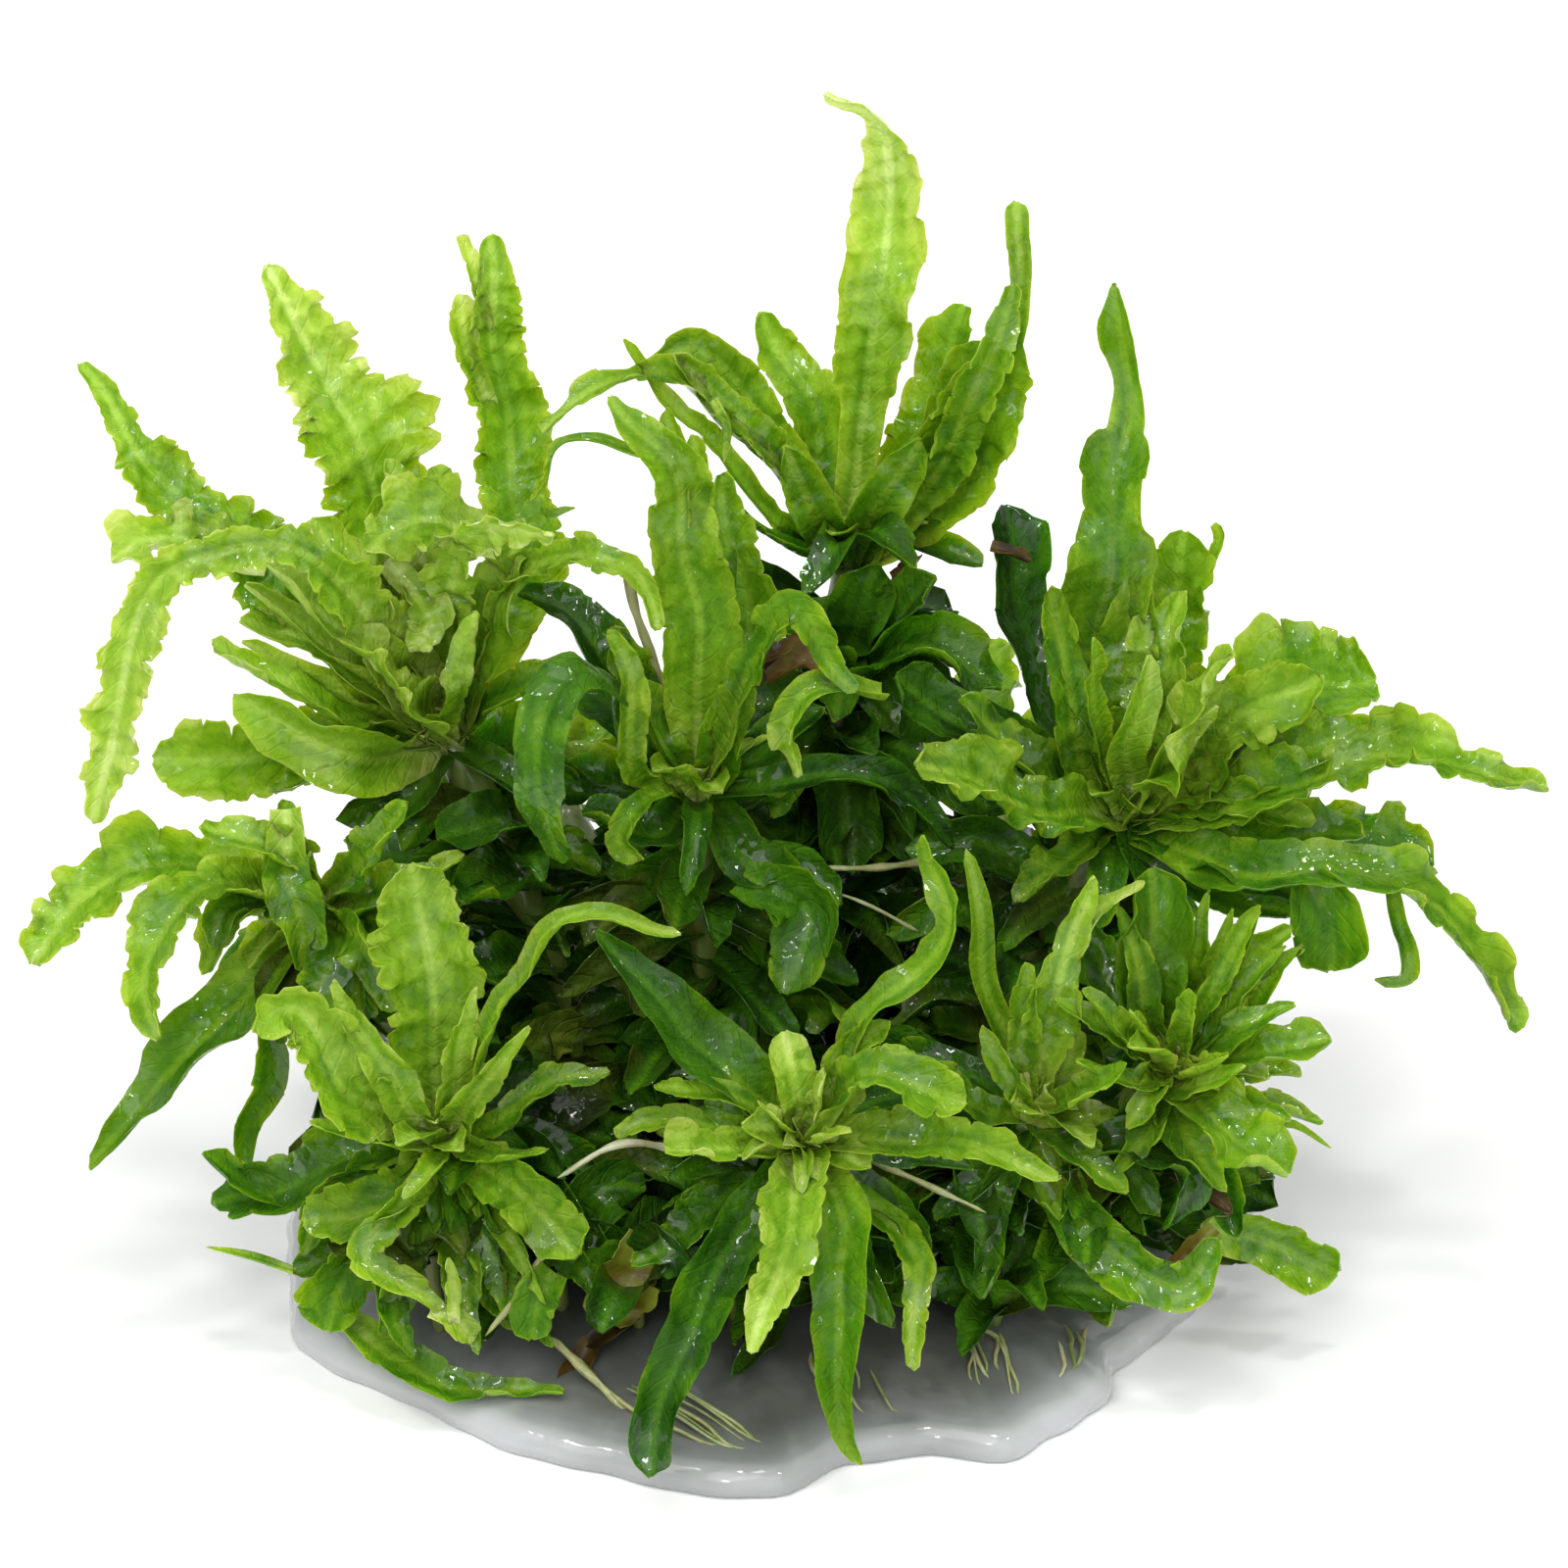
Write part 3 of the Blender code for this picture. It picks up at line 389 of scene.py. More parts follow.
RIGHT = Plantlet("right", crown=(20.9, 4, 27.2), foot=(13, 3))
RIGHT.large = [
    bright(6.2, (19.3, 35, 6), (19.8, 43, 8), (20.8, 51, 10), (20, 57.9, 11), outline=NECKED,
           tint=(0.39, 0.52), frill=0.1, wave=0.2, lobe=2.4),
    bright(4.8, (23, 34, 9.5), (25.2, 43.8, 13), outline=BROAD, tint=(0.41, 0.56), frill=0.22, wave=0.5),
    pale(7.6, (27.8, 32.6, 5.5), (35.8, 34.8, 8.5), outline=BLUNT, tint=(0.39, 0.5), frill=0.26,
         lobe=1.3),
    bright(5.2, (29, 27.8, -0.6), (36.5, 29.8, -0.6), (45.8, 28.1, -1), outline=TAILED, tint=(0.41, 0.58),
           frill=0.34, lobe=1.3),
    bright(4, (27, 23, -4.5), (36, 22.2, -5.5), (41, 18.2, -5.5), (43.8, 13.3, -7), outline=BAND,
           tint=(0.35, 0.54), frill=0.16, lobe=1.8),
    bright(4.6, (15.7, 27.2, -2), (8, 29.8, -6), outline=BROAD, tint=(0.41, 0.6), frill=0.2, wave=0.5),
    deep(4.2, (15.8, 36, 10), (13.9, 45.8, 15), outline=BLUNT, tint=(0.15, 0.08)),
    deep(4, (13.8, 30.3, 5), (6.7, 34.7, 6), outline=BLUNT, tint=(0.13, 0.2)),
]
RIGHT.small = [
    deep(5.8, (30, 26, 5), (39.9, 23.4, 6), outline=CLUBBED, tint=(0.26, 0.34), frill=0.24, wave=0.4,
         lobe=1.5),
    bright(1.7, (19, 32, 0.5), (18.6, 37.3, -1), tint=(0.48, 0.56), frill=0.05),
    pale(4.4, (23.6, 30.4, -0.5), (27, 35.8, -3), tint=(0.48, 0.66), lobe=1.8),
    bright(3, (17.8, 24.6, 0), (14.5, 21.5, -2.5), tint=(0.4, 0.5)),
    deep(3.6, (19.5, 20.4, 8.5), (24, 22.7, 13), base=0.5),
    deep(3.6, (14.3, 22.2, 8.5), (14, 25.8, 14), base=0.5),
    deep(3.2, (21, 15.7, -0.5), (27, 14.1, -3), base=0.5),
]
RIGHT.extra = [
    deep(1.4, (37, 18.4, -6), (36.9, 16.6, -6.2), (35.2, 16.4, -6.2), root=(36.4, 22.2, -5.3),
         outline=BLUNT, tint=(0.3, 0.36)),
    deep(5, (32.6, 20.2, -6.5), (32.8, 17.4, -7), root=(31.4, 23, -5.2), outline=BROAD, face=FORWARD,
         tint=(0.3, 0.38), cup=0.9),
    deep(4.2, (27, 23.4, -3), (33, 21.6, -4.5), outline=BLUNT, tint=(0.24, 0.3)),
    deep(5, (17, 28, 6), (13.2, 26.4, 7)),
    deep(4.6, (18.6, 24.4, 5), (15.4, 23.4, 6)),
    bright(0.8, (26.6, 43, 12.6), (26.4, 44, 12.8), root=(25.6, 40.5, 12), outline=BLUNT),
    bright(4.6, (22.6, 32.5, 3), (24.8, 40, 6), tint=(0.46, 0.62), wave=0.2),
    bright(5.2, (26, 31, 2), (31.5, 35, 2.6), tint=(0.46, 0.62), wave=0.25),
    bright(2.6, (21.4, 32, 0), (22, 36, 0), face=FORWARD, tint=(0.6, 0.7), frill=0.06, wave=0.1),
    bright(2.4, (23, 30, -1), (25.4, 32.6, -2), face=FORWARD, tint=(0.6, 0.72), frill=0.06, wave=0.1),
    bright(4.6, (28.4, 29.6, 2), (36, 31.6, 3), tint=(0.42, 0.54), frill=0.1),
    deep(4.2, (27.6, 25.4, 0), (35, 25, 0), tint=(0.3, 0.36), frill=0.1),
    bright(4.6, (21, 33.5, 4.5), (21.6, 41, 7), tint=(0.4, 0.54), frill=0.1),
    bright(3.8, (18, 33.5, 5), (15.8, 38, 6.5), tint=(0.34, 0.5), frill=0.14),
    bright(3, (17.6, 31.5, 3.5), (16.4, 40, 6), tint=(0.34, 0.5)),
    bright(3, (26, 27, 0), (32, 26, -1.5), tint=(0.36, 0.5)),
    bright(3.2, (16, 29.8, 3), (11, 33.5, 4.5), tint=(0.28, 0.42)),
    deep(2.8, (22, 24, -0.5), (25, 20.4, -2.5)),
    deep(2.6, (19.6, 23.6, -0.5), (18.8, 20, -2.5)),
    deep(2.8, (24.5, 22.4, -1.5), (31, 20.6, -3.5)),
]

LOWER_LEFT = Plantlet("lower_left", crown=(-19.4, -14, 14.8), foot=(-15, -9))
LOWER_LEFT.large = [
    bright(6.4, (-20, 14.5, -13.8), (-21, 23.7, -13), outline=BROAD, face=FORWARD, tint=(0.52, 0.68),
           frill=0.3, lobe=1.3, cup=0.8),
    bright(1.9, (-16.5, 13.5, -17.5), (-12.5, 20.4, -19), (-5.2, 19.9, -20.5), outline=RIBBON,
           tint=(0.52, 0.62), frill=0.03, wave=0.08),
    bright(4.4, (-24, 10.7, -16), (-27.5, 15.3, -17), (-29.8, 14.5, -18.5), tint=(0.54, 0.68), frill=0.34,
           lobe=1.2),
    deep(4, (-25, 6, -13), (-33.2, 3.2, -12), tint=(0.36, 0.28), frill=0.22, lobe=1.8),
    bright(3.9, (-14.8, 4.8, -19), (-11.4, 1, -22), outline=BLUNT, face=FORWARD, tint=(0.44, 0.58),
           frill=0.14),
]
LOWER_LEFT.small = [
    bright(2.2, (-22, 3, -19), (-23.3, 0.2, -21), (-19.5, -2.2, -22), face=FORWARD, tint=(0.46, 0.6)),
    bright(2, (-15.3, 9.7, -15.5), (-9.5, 12.4, -15), tint=(0.4, 0.5)),
    bright(3, (-17.2, 1.5, -17.5), (-14.8, -4, -20.5), face=FORWARD, tint=(0.3, 0.4)),
    deep(2.8, (-24, 2.6, -14.5), (-28, -0.6, -14), tint=(0.34, 0.3)),
    bright(2.8, (-23.5, 10.6, -11), (-28.2, 13.2, -8.5), tint=(0.42, 0.56)),
    deep(3, (-14.5, 6.6, -12.5), (-9, 5, -12)),
]
LOWER_LEFT.extra = [
    bright(3.9, (-23, 3.8, -17), (-27.8, 2.6, -17.5), outline=BROAD, tint=(0.42, 0.52)),
    bright(3.2, (-14, -1.8, -22.2), (-14.2, -3.9, -23), root=(-12.8, 0, -21), outline=BLUNT, face=FORWARD,
           tint=(0.34, 0.4)),
    bright(4.2, (-25.6, -0.6, -15.5), (-26.4, -3.6, -17), root=(-23.6, 2.2, -14.5), outline=BROAD,
           face=FORWARD, tint=(0.34, 0.46)),
    bright(3.3, (-22.6, -0.6, -18), (-20.8, -5, -21), outline=TAPERED, face=FORWARD, tint=(0.28, 0.38)),
    bright(3.1, (-18.6, -0.2, -19.5), (-16.8, -4.8, -22.5), outline=TAPERED, face=FORWARD,
           tint=(0.32, 0.42)),
    bright(2.9, (-16, 0.4, -19.5), (-12.8, -4.4, -22.6), outline=TAPERED, face=FORWARD,
           tint=(0.26, 0.36)),
    bright(3.3, (-20.8, 0.8, -18), (-23, -4.2, -18.6), outline=TAPERED, face=FORWARD, tint=(0.32, 0.4)),
    bright(2.9, (-12.8, 1.6, -19), (-9.8, -2.4, -21.2), outline=TAPERED, face=FORWARD, tint=(0.24, 0.32)),
    deep(2.2, (-31, 4.8, -12.6), (-33.4, 6.4, -12.6), root=(-28, 3.6, -12.8), tint=(0.3, 0.34)),
    bright(0.5, (-31.2, 0.6, -12.8), (-33.4, 1.1, -13), root=(-28, -0.4, -13.4), outline=RIBBON, frill=0,
           wave=0.03),
    bright(3.3, (-25.4, 4.6, -14), (-28.6, 0.6, -14.6), outline=TAPERED, face=FORWARD, tint=(0.3, 0.4),
           frill=0.34),
    bright(1.7, (-18.6, -2.8, -22.3), (-17.4, -4.2, -22.6), root=(-20, -2.3, -22), outline=BLUNT,
           tint=(0.62, 0.74)),
    bright(0.9, (-18.6, -0.6, -22.6), (-18.8, 0.6, -22.6), root=(-18.6, -3, -22.4), tint=(0.62, 0.74)),
    bright(2.9, (-19.7, -6.8, -21), (-12.2, -7.2, -23.4), root=(-25.3, -3.2, -15), outline=TAPERED,
           tint=(0.4, 0.46), frill=0.08),
    bright(2.4, (-18.6, 11, -16.5), (-17.2, 17, -17), outline=TAPERED, face=FORWARD, tint=(0.56, 0.7)),
    bright(2.2, (-17.4, 10, -17.5), (-14, 14.4, -18.5), outline=TAPERED, face=FORWARD, tint=(0.5, 0.62)),
    bright(2.8, (-22.4, 10.5, -16.5), (-25.6, 17, -16.5), outline=TAPERED, face=FORWARD,
           tint=(0.56, 0.72), frill=0.2),
    bright(1.6, (-20, 6, -18.5), (-21.4, 4.6, -19.5), tint=(0.5, 0.66)),
    bright(1.8, (-16.8, 7, -17), (-13.2, 7.4, -18.6), outline=TAPERED, tint=(0.44, 0.56)),
    bright(1.8, (-15, 1.6, -20.4), (-13.4, -1.8, -22.6), outline=TAPERED, face=FORWARD,
           tint=(0.42, 0.52)),
    bright(2.4, (-22.6, 7.6, -16), (-26.6, 8.8, -17), outline=TAPERED, tint=(0.52, 0.64)),
]

FAR_LEFT = Plantlet("far_left", crown=(-27, -4, 25), foot=(-19, -3))
FAR_LEFT.large = [
    pale(5, (-34.5, 23.8, -4), (-40.6, 21.8, -5), (-43.8, 17.6, -6), tint=(0.46, 0.66), frill=0.44,
         lobe=1.4),
    bright(3.6, (-32.6, 22.5, -9), (-36.6, 19, -11.5), (-36.1, 13.4, -13), outline=RIBBON,
           tint=(0.46, 0.62), frill=0.4, lobe=1.3),
    deep(4.6, (-31.3, 15.8, -8), (-36, 11, -10), (-40.5, 5.7, -12), outline=TAPERED, tint=(0.4, 0.4),
         frill=0.03, wave=0.1),
]
FAR_LEFT.small = [
    deep(2.2, (-30, 14, -3), (-32, 5.2, -4), face=FORWARD, tint=(0.34, 0.34), frill=0.2),
    bright(2.6, (-28.6, 24.5, -6), (-28.8, 27.5, -5), tint=(0.4, 0.5)),
    bright(2.8, (-24.2, 24, -6), (-21.6, 27.5, -8), tint=(0.4, 0.52)),
    bright(2.8, (-25, 17.5, -8), (-24.4, 13, -9.5), face=FORWARD, tint=(0.36, 0.46)),
    deep(2.8, (-29.5, 19, -1), (-33.5, 17, 1)),
    deep(3.4, (-24.5, 16.7, 2), (-29, 19.3, 7), base=0.5),
]
FAR_LEFT.extra = [
    bright(3.4, (-28.2, 22.5, -8.5), (-27.4, 17.8, -9.2), root=(-28.5, 26.9, -6), face=FORWARD,
           tint=(0.46, 0.5), frill=0.1),
    bright(3.2, (-24.4, 19.6, -9.5), (-22.4, 15.6, -11.5), face=FORWARD, tint=(0.42, 0.48), frill=0.1),
    bright(2.8, (-22.4, 21.6, -8), (-19, 22.4, -10), tint=(0.4, 0.52), frill=0.1),
    deep(2.4, (-32, 21.6, -8), (-33, 18.8, -9.5), tint=(0.3, 0.3)),
    bright(2.8, (-29.6, 24.4, -7), (-33.4, 26, -7.4), tint=(0.5, 0.62)),
    bright(2.6, (-23.6, 20.6, -7), (-20, 20.4, -9.5), tint=(0.36, 0.46)),
    bright(3.2, (-26, 18.4, -9), (-28.6, 13.6, -11), face=FORWARD, tint=(0.34, 0.4)),
    bright(2.4, (-22.8, 22.4, -5), (-18.4, 24.4, -5.5), tint=(0.44, 0.6)),
    bright(2.6, (-31, 20.4, -8), (-33.4, 17, -9.5), tint=(0.42, 0.54)),
]

FRONT = Plantlet("front", crown=(1.7, -20, 17.6), foot=(1, -12))
FRONT.large = [
    deep(4.6, (-4.6, 13.3, -18), (-10.2, 19.7, -16), outline=TAPERED, tint=(0.36, 0.2), frill=0.02,
         wave=0.06),
    bright(2.2, (6, 15.5, -19), (10.2, 19.8, -18), (8.4, 25.5, -16), tint=(0.44, 0.58), frill=0.06),
    bright(3.3, (5.5, 11.2, -23), (10.9, 10.2, -25), outline=BLUNT, tint=(0.4, 0.58)),
    bright(3.5, (8, 8.2, -22), (16.5, 6.3, -24), outline=TAPERED, tint=(0.42, 0.64)),
    deep(3.7, (-2.5, 1.5, -25), (-6, -5.5, -30.5), (-7.1, -11.4, -33), outline=BAND, face=FORWARD,
         tint=(0.22, 0.18)),
    bright(4, (0.4, 2.5, -27.5), (-1.2, -4.3, -32), outline=TAPERED, face=FORWARD, tint=(0.54, 0.82)),
    bright(3.7, (4.3, 2.5, -25), (3.4, -5, -30), (5.3, -11.2, -33), outline=TAPERED, face=FORWARD,
           tint=(0.38, 0.42), frill=0.06),
]
FRONT.small = [
    pale(2.6, (1.2, 11, -21.5), (0.3, 14.2, -20.5), outline=BLUNT, tint=(0.52, 0.76), frill=0.1,
         wave=0.2),
    bright(2.8, (-2.2, 7.4, -22.5), (-6, 6.9, -24.5), outline=BLUNT, tint=(0.52, 0.72)),
    bright(1.7, (-2, 9.8, -21), (-6.7, 11, -21), tint=(0.48, 0.58)),
    deep(2.6, (5.8, 4.4, -20.5), (9.4, 0.4, -22)),
    bright(3, (-3.4, 4, -20), (-8.4, 0.6, -21), tint=(0.28, 0.36)),
    deep(2.8, (0.6, 3.4, -18.5), (-1, -1, -20), face=FORWARD),
    deep(2.6, (4.4, 8.8, -16.5), (8.8, 10.6, -13.5)),
]
FRONT.extra = [
    bright(2, (6.6, 2.4, -22.5), (8.1, -0.1, -24), (7.4, -5.5, -27), tint=(0.34, 0.66)),
    bright(1.8, (-5.9, 8.9, -21.5), (-9.3, 8, -22), tint=(0.44, 0.56)),
    deep(2.4, (7.5, 7, -20.5), (11.8, 5.9, -21), tint=(0.26, 0.22)),
    bright(2.2, (4, 12, -20), (6.8, 14.4, -18.5), tint=(0.46, 0.56)),
    pale(1.2, (2.4, 10, -22), (3, 11.8, -22.4), tint=(0.56, 0.76)),
    bright(1.2, (0.4, 9.4, -22.4), (-0.9, 10.6, -23.2), tint=(0.54, 0.7)),
    bright(1.2, (3.4, 8.4, -23.4), (4.6, 8.6, -24.4), tint=(0.56, 0.72)),
    bright(1.2, (1.4, 6.4, -23.6), (1.2, 4.8, -25), tint=(0.54, 0.7)),
    bright(1.1, (-0.6, 7.6, -23), (-1.8, 6.6, -24), tint=(0.54, 0.7)),
    deep(2.8, (2.8, 4.6, -20.5), (6.6, -3.4, -24.5), face=FORWARD),
    deep(2.8, (0.4, 3.6, -21), (-4.4, -2.6, -25), face=FORWARD),
]

LOWER_RIGHT = Plantlet("lower_right", crown=(23.2, -12, 18.3), foot=(18, -8))
LOWER_RIGHT.large = [
    bright(5, (22.6, 17, -11), (22.3, 23.4, -9), outline=BROAD, face=FORWARD, tint=(0.32, 0.42),
           frill=0.06, cup=1.1),
    bright(3, (27.5, 13, -13), (32.8, 13.6, -14), outline=BLUNT, tint=(0.46, 0.48), frill=0.06),
    bright(4.6, (25.8, 8.5, -17), (30, 5.6, -19.5), outline=BROAD, tint=(0.48, 0.54), frill=0.12),
]
LOWER_RIGHT.small = [
    bright(2.4, (26.2, 15.8, -10), (29.8, 20, -8), tint=(0.42, 0.52)),
    bright(2.2, (27.6, 9.6, -10.5), (32.4, 8.4, -9.5), tint=(0.44, 0.5)),
    deep(2.8, (25, 6, -13.5), (27, 1.5, -15), face=FORWARD),
    deep(2.6, (19.8, 15.6, -9.5), (18.2, 20.6, -7)),
    bright(3.8, (29.4, 1.4, -12.5), (33.4, -0.4, -12.5), root=(25.4, 2.2, -14), outline=BLUNT,
           face=FORWARD, tint=(0.44, 0.54), frill=0.1),
    deep(2.6, (20.9, 7.2, -15), (22.5, 3, -17), face=FORWARD),
]
LOWER_RIGHT.extra = [
    bright(0.6, (28.8, 7.8, -13.5), (30.8, 8.3, -13.5), (33, 7.2, -13.5), root=(26.5, 7.4, -13),
           outline=RIBBON, tint=(0.5, 0.5), frill=0, wave=0.03),
    deep(3.2, (20.9, 7.4, -16.5), (24.2, 5.2, -17), (23, 2.3, -18.5), root=(16.8, 6.2, -16),
         tint=(0.1, 0.16)),
    bright(1.6, (27.5, 16.5, -9), (31, 18.3, -8), tint=(0.42, 0.52)),
    bright(1.6, (26, 17.4, -11.5), (28.4, 21.4, -11), tint=(0.4, 0.52)),
    bright(1.8, (24.6, 17, -10), (25.8, 22.6, -9), outline=TAPERED, tint=(0.34, 0.44)),
    bright(1.8, (21, 13.8, -14), (18, 16.4, -14.6), tint=(0.4, 0.5)),
    bright(1.8, (24.6, 11.6, -15), (26.4, 12.8, -17), tint=(0.52, 0.62)),
    bright(1.9, (22, 10.4, -16), (20.6, 8.6, -17.6), tint=(0.46, 0.56)),
    bright(1.9, (26.4, 11.2, -12), (30.6, 11, -12), tint=(0.44, 0.5)),
    bright(1.9, (21.4, 11.6, -15), (17.6, 12.4, -16.8), outline=TAPERED, tint=(0.42, 0.52)),
    bright(1.7, (23.8, 13.6, -14), (24.2, 16.2, -15), tint=(0.44, 0.56)),
    bright(1.9, (25.2, 16.4, -10.5), (26.8, 20.8, -10), outline=TAPERED, tint=(0.34, 0.46), frill=0.06),
    bright(1.9, (26, 16, -11), (28.4, 20.9, -10.5), outline=TAPERED, tint=(0.32, 0.48), frill=0.06),
    bright(2.1, (26.8, 15.2, -11.5), (30.2, 18.8, -11), outline=TAPERED, tint=(0.36, 0.48), frill=0.06),
    bright(1.9, (27.4, 14.4, -10), (31, 18.6, -9), outline=TAPERED, tint=(0.34, 0.46), frill=0.06),
    bright(2.6, (20.4, 13.6, -14.5), (16.2, 15.6, -15), outline=TAPERED, tint=(0.38, 0.54)),
    bright(2.5, (24.6, 10.6, -15.5), (27.2, 12, -17), outline=TAPERED, tint=(0.48, 0.6)),
    bright(3, (24.2, 8.2, -16), (26.4, 4.6, -18), outline=TAPERED, tint=(0.4, 0.5)),
    bright(2.5, (21.6, 8.4, -16.2), (19.4, 5.8, -18), outline=TAPERED, tint=(0.3, 0.42)),
    bright(2.6, (26.6, 13.6, -12.5), (30.4, 15, -12.5), outline=TAPERED, tint=(0.34, 0.44)),
    bright(2.8, (26.6, 10, -14), (30.2, 8.8, -15), outline=TAPERED, tint=(0.4, 0.5)),
    bright(2.5, (21.2, 16, -12), (19.8, 21, -11), outline=TAPERED, face=FORWARD, tint=(0.34, 0.46)),
    bright(1.5, (22.2, 13.2, -14.4), (21, 15.6, -15.6), tint=(0.44, 0.58)),
]

FRONT_RIGHT = Plantlet("front_right", crown=(15, -14, 16.4), foot=(11, -9))
FRONT_RIGHT.large = [
    bright(3.4, (15.9, 15, -13), (18.6, 22.8, -12), outline=TAPERED, face=FORWARD, tint=(0.48, 0.7)),
    bright(3.8, (18.6, 2, -18), (23.4, -1, -20.5), (26.2, 1.3, -19.5), face=FORWARD, tint=(0.36, 0.46),
           frill=0.08),
]
FRONT_RIGHT.small = [
    bright(1.7, (12.9, 16.8, -11), (11.3, 24.4, -10), tint=(0.44, 0.54), frill=0.04, wave=0.08),
    deep(2.6, (11, 11.4, -12.5), (6.6, 12.6, -11.5)),
    bright(2.4, (17.4, 6.8, -17), (20.4, 4.8, -19.5), tint=(0.3, 0.42)),
    deep(2.4, (13, 4, -18), (11.5, -1.5, -20.5), face=FORWARD),
]
FRONT_RIGHT.extra = [
    bright(1.2, (19, 21.2, -11.6), (21.6, 22.9, -11.4), root=(17.6, 18.6, -12.6), tint=(0.62, 0.76)),
    bright(2.2, (17, 10, -15.6), (20.4, 12.4, -17), tint=(0.44, 0.54)),
    bright(1.7, (14, 10.2, -16), (12, 14.4, -17), face=FORWARD, tint=(0.44, 0.52)),
    bright(2.4, (12.4, 9.4, -15.5), (8.6, 11.6, -16.5), tint=(0.36, 0.46)),
    deep(2.6, (13, 6, -16.5), (9, 3, -18.5)),
    bright(2, (14.6, 12.4, -14), (14.8, 18, -13.6), face=FORWARD, tint=(0.42, 0.54)),
]

REAR_LEFT = Plantlet("rear_left", crown=(-13, 23, 19), foot=(-9, 15), filling=28)
REAR_LEFT.large = [
    bright(4.2, (-19, 32.5, 27), (-26, 34, 30), face=BACKWARD),
    bright(4.2, (-13.5, 33, 29), (-14.5, 36, 36)),
    deep(3.4, (-18, 22.5, 28), (-21.5, 16, 31.5), face=BACKWARD, tint=(0.34, 0.3)),
]
REAR_LEFT.small = [
    bright(2.6, (-8, 32, 27), (-4.5, 34, 31)),
    bright(2.2, (-12, 20, 29.5), (-11, 15.5, 33), face=BACKWARD),
    bright(3, (-16.5, 28, 23.5), (-21.5, 28.6, 22.5), face=BACKWARD),
    bright(3.2, (-15.5, 20.5, 19.5), (-20, 20.2, 20), base=0.5, face=BACKWARD),
    bright(3.2, (-8.5, 21.5, 24), (-7, 21.7, 30), base=0.5, face=BACKWARD),
]
REAR_LEFT.extra = [
    bright(2.8, (-14.8, 30, 25), (-18, 34, 28), tint=(0.46, 0.6)),
    bright(2.6, (-12, 30, 25.5), (-9.5, 34, 28.5), tint=(0.46, 0.62)),
    bright(2.8, (-13.6, 25, 28), (-15, 22, 32.5), face=BACKWARD),
    bright(2.8, (-10.6, 26, 27.5), (-7, 24, 32), face=BACKWARD),
    bright(2.8, (-15.8, 26.5, 25.5), (-20.5, 25, 27.5), face=BACKWARD),
]

REAR_RIGHT = Plantlet("rear_right", crown=(13.5, 23, 18), foot=(9, 15), filling=28)
REAR_RIGHT.large = [
    bright(4.2, (19, 31, 26), (25.5, 33.5, 29), face=BACKWARD),
    bright(4.4, (13, 33, 29), (13.5, 37, 35.5)),
    deep(3.4, (18.5, 21, 28), (22, 15, 31), face=BACKWARD, tint=(0.34, 0.3)),
]
REAR_RIGHT.small = [
    bright(2.6, (7.5, 31, 27), (4.5, 33.5, 31.5)),
    bright(2.2, (12.5, 19, 29.5), (10.5, 14.5, 32.5), face=BACKWARD),
    bright(3, (17, 26.8, 23.5), (22, 27.2, 22.5), face=BACKWARD),
    bright(3.2, (16, 20.3, 19), (21, 18.9, 19), base=0.5, face=BACKWARD),
    bright(3.2, (8, 21.5, 24), (6, 21.7, 30), base=0.5, face=BACKWARD),
]
REAR_RIGHT.extra = [
    bright(2.8, (15.4, 29.6, 25), (18.4, 33.6, 28), tint=(0.46, 0.6)),
    bright(2.6, (12, 29.6, 25.5), (9.5, 33.6, 28.5), tint=(0.46, 0.62)),
    bright(2.8, (14, 24, 28), (15, 21, 32.5), face=BACKWARD),
    bright(2.8, (11, 25, 27.5), (8, 23, 32), face=BACKWARD),
    bright(2.8, (16.4, 26, 25.5), (21, 24.6, 27.5), face=BACKWARD),
]

PLANTLETS = [
    UPPER_LEFT, UPPER_BACK, MIDDLE, RIGHT, LOWER_LEFT, FAR_LEFT, FRONT, LOWER_RIGHT, FRONT_RIGHT,
    REAR_LEFT, REAR_RIGHT,
]

# The turn from each leaf round a stem to the next
GOLDEN_ANGLE = 2.39996

# The small leaves low on each stem that fill the clump. Their deep tints are partly their own dark
# green and partly painted shade inside the clump.
FILL_LENGTH = (6.5, 11.5)
FILL_WIDTH = (2.6, 4.2)
FILL_LIFT = (-0.25, 0.9)
FILL_COARSE = 1.7
FILL_FACE = np.array((0.0, -0.6, 0.8))
FILL_TINTS_AND_SHADE = (0.06, 0.10, 0.14, 0.17, 0.20, 0.26, 0.33)
FILL_TIP_PALING = 0.10
DEEPEST_BRIGHT = 0.3
FILL_TWIST = 40
FILL_CLEARANCE = 0.5
SMALL_COARSE = 1.2

# The low shoots between the stems: how many, how far out and to the front they stand, how tall they
# are, and their leaves and stalks
SHOOTS = 36
SHOOT_REACH = 0.88
SHOOT_FRONT = -18.5
SHOOT_HEIGHT = (1.5, 6.5)
SHOOT_LEAVES = 9
SHOOT_LENGTH = (4.5, 8.5)
SHOOT_DEPTH = 0.6
SHOOT_LEAN = 0.03
SHOOT_RADII = (0.45, 0.4, 0.6)

# The youngest leaves in the crowns, and the inner ones round them. The youngest are paler, partly
# as young leaves are and partly as painted light against the shade in the crown.
HEART_LEAVES = 6
HEART_LENGTH = (2.2, 3.8)
HEART_WIDTH = (1.0, 1.7)
HEART_TINT_AND_LIGHT = (0.56, 0.76)
HEART_SPREAD = 0.25
HEART_OPENING = 0.09
INNER_LEAVES = 5
INNER_LENGTH = (4.0, 6.5)
INNER_WIDTH = (2.0, 2.9)
INNER_TINT = (0.50, 0.66)


# Helpers for lines and meshes

def unit(vector):
    """The vector, made one long."""
    return vector / np.linalg.norm(vector)


def eased(values, places):
    """Values between the listed ones, at places from 0 to 1, with rounded turns."""
    values = np.asarray(values, float)
    step = np.minimum(places, 0.9999) * (len(values) - 1)
    index = step.astype(int)
    ease = (1.0 - np.cos(np.pi * (step - index))) / 2.0
    return values[index] + (values[index + 1] - values[index]) * ease


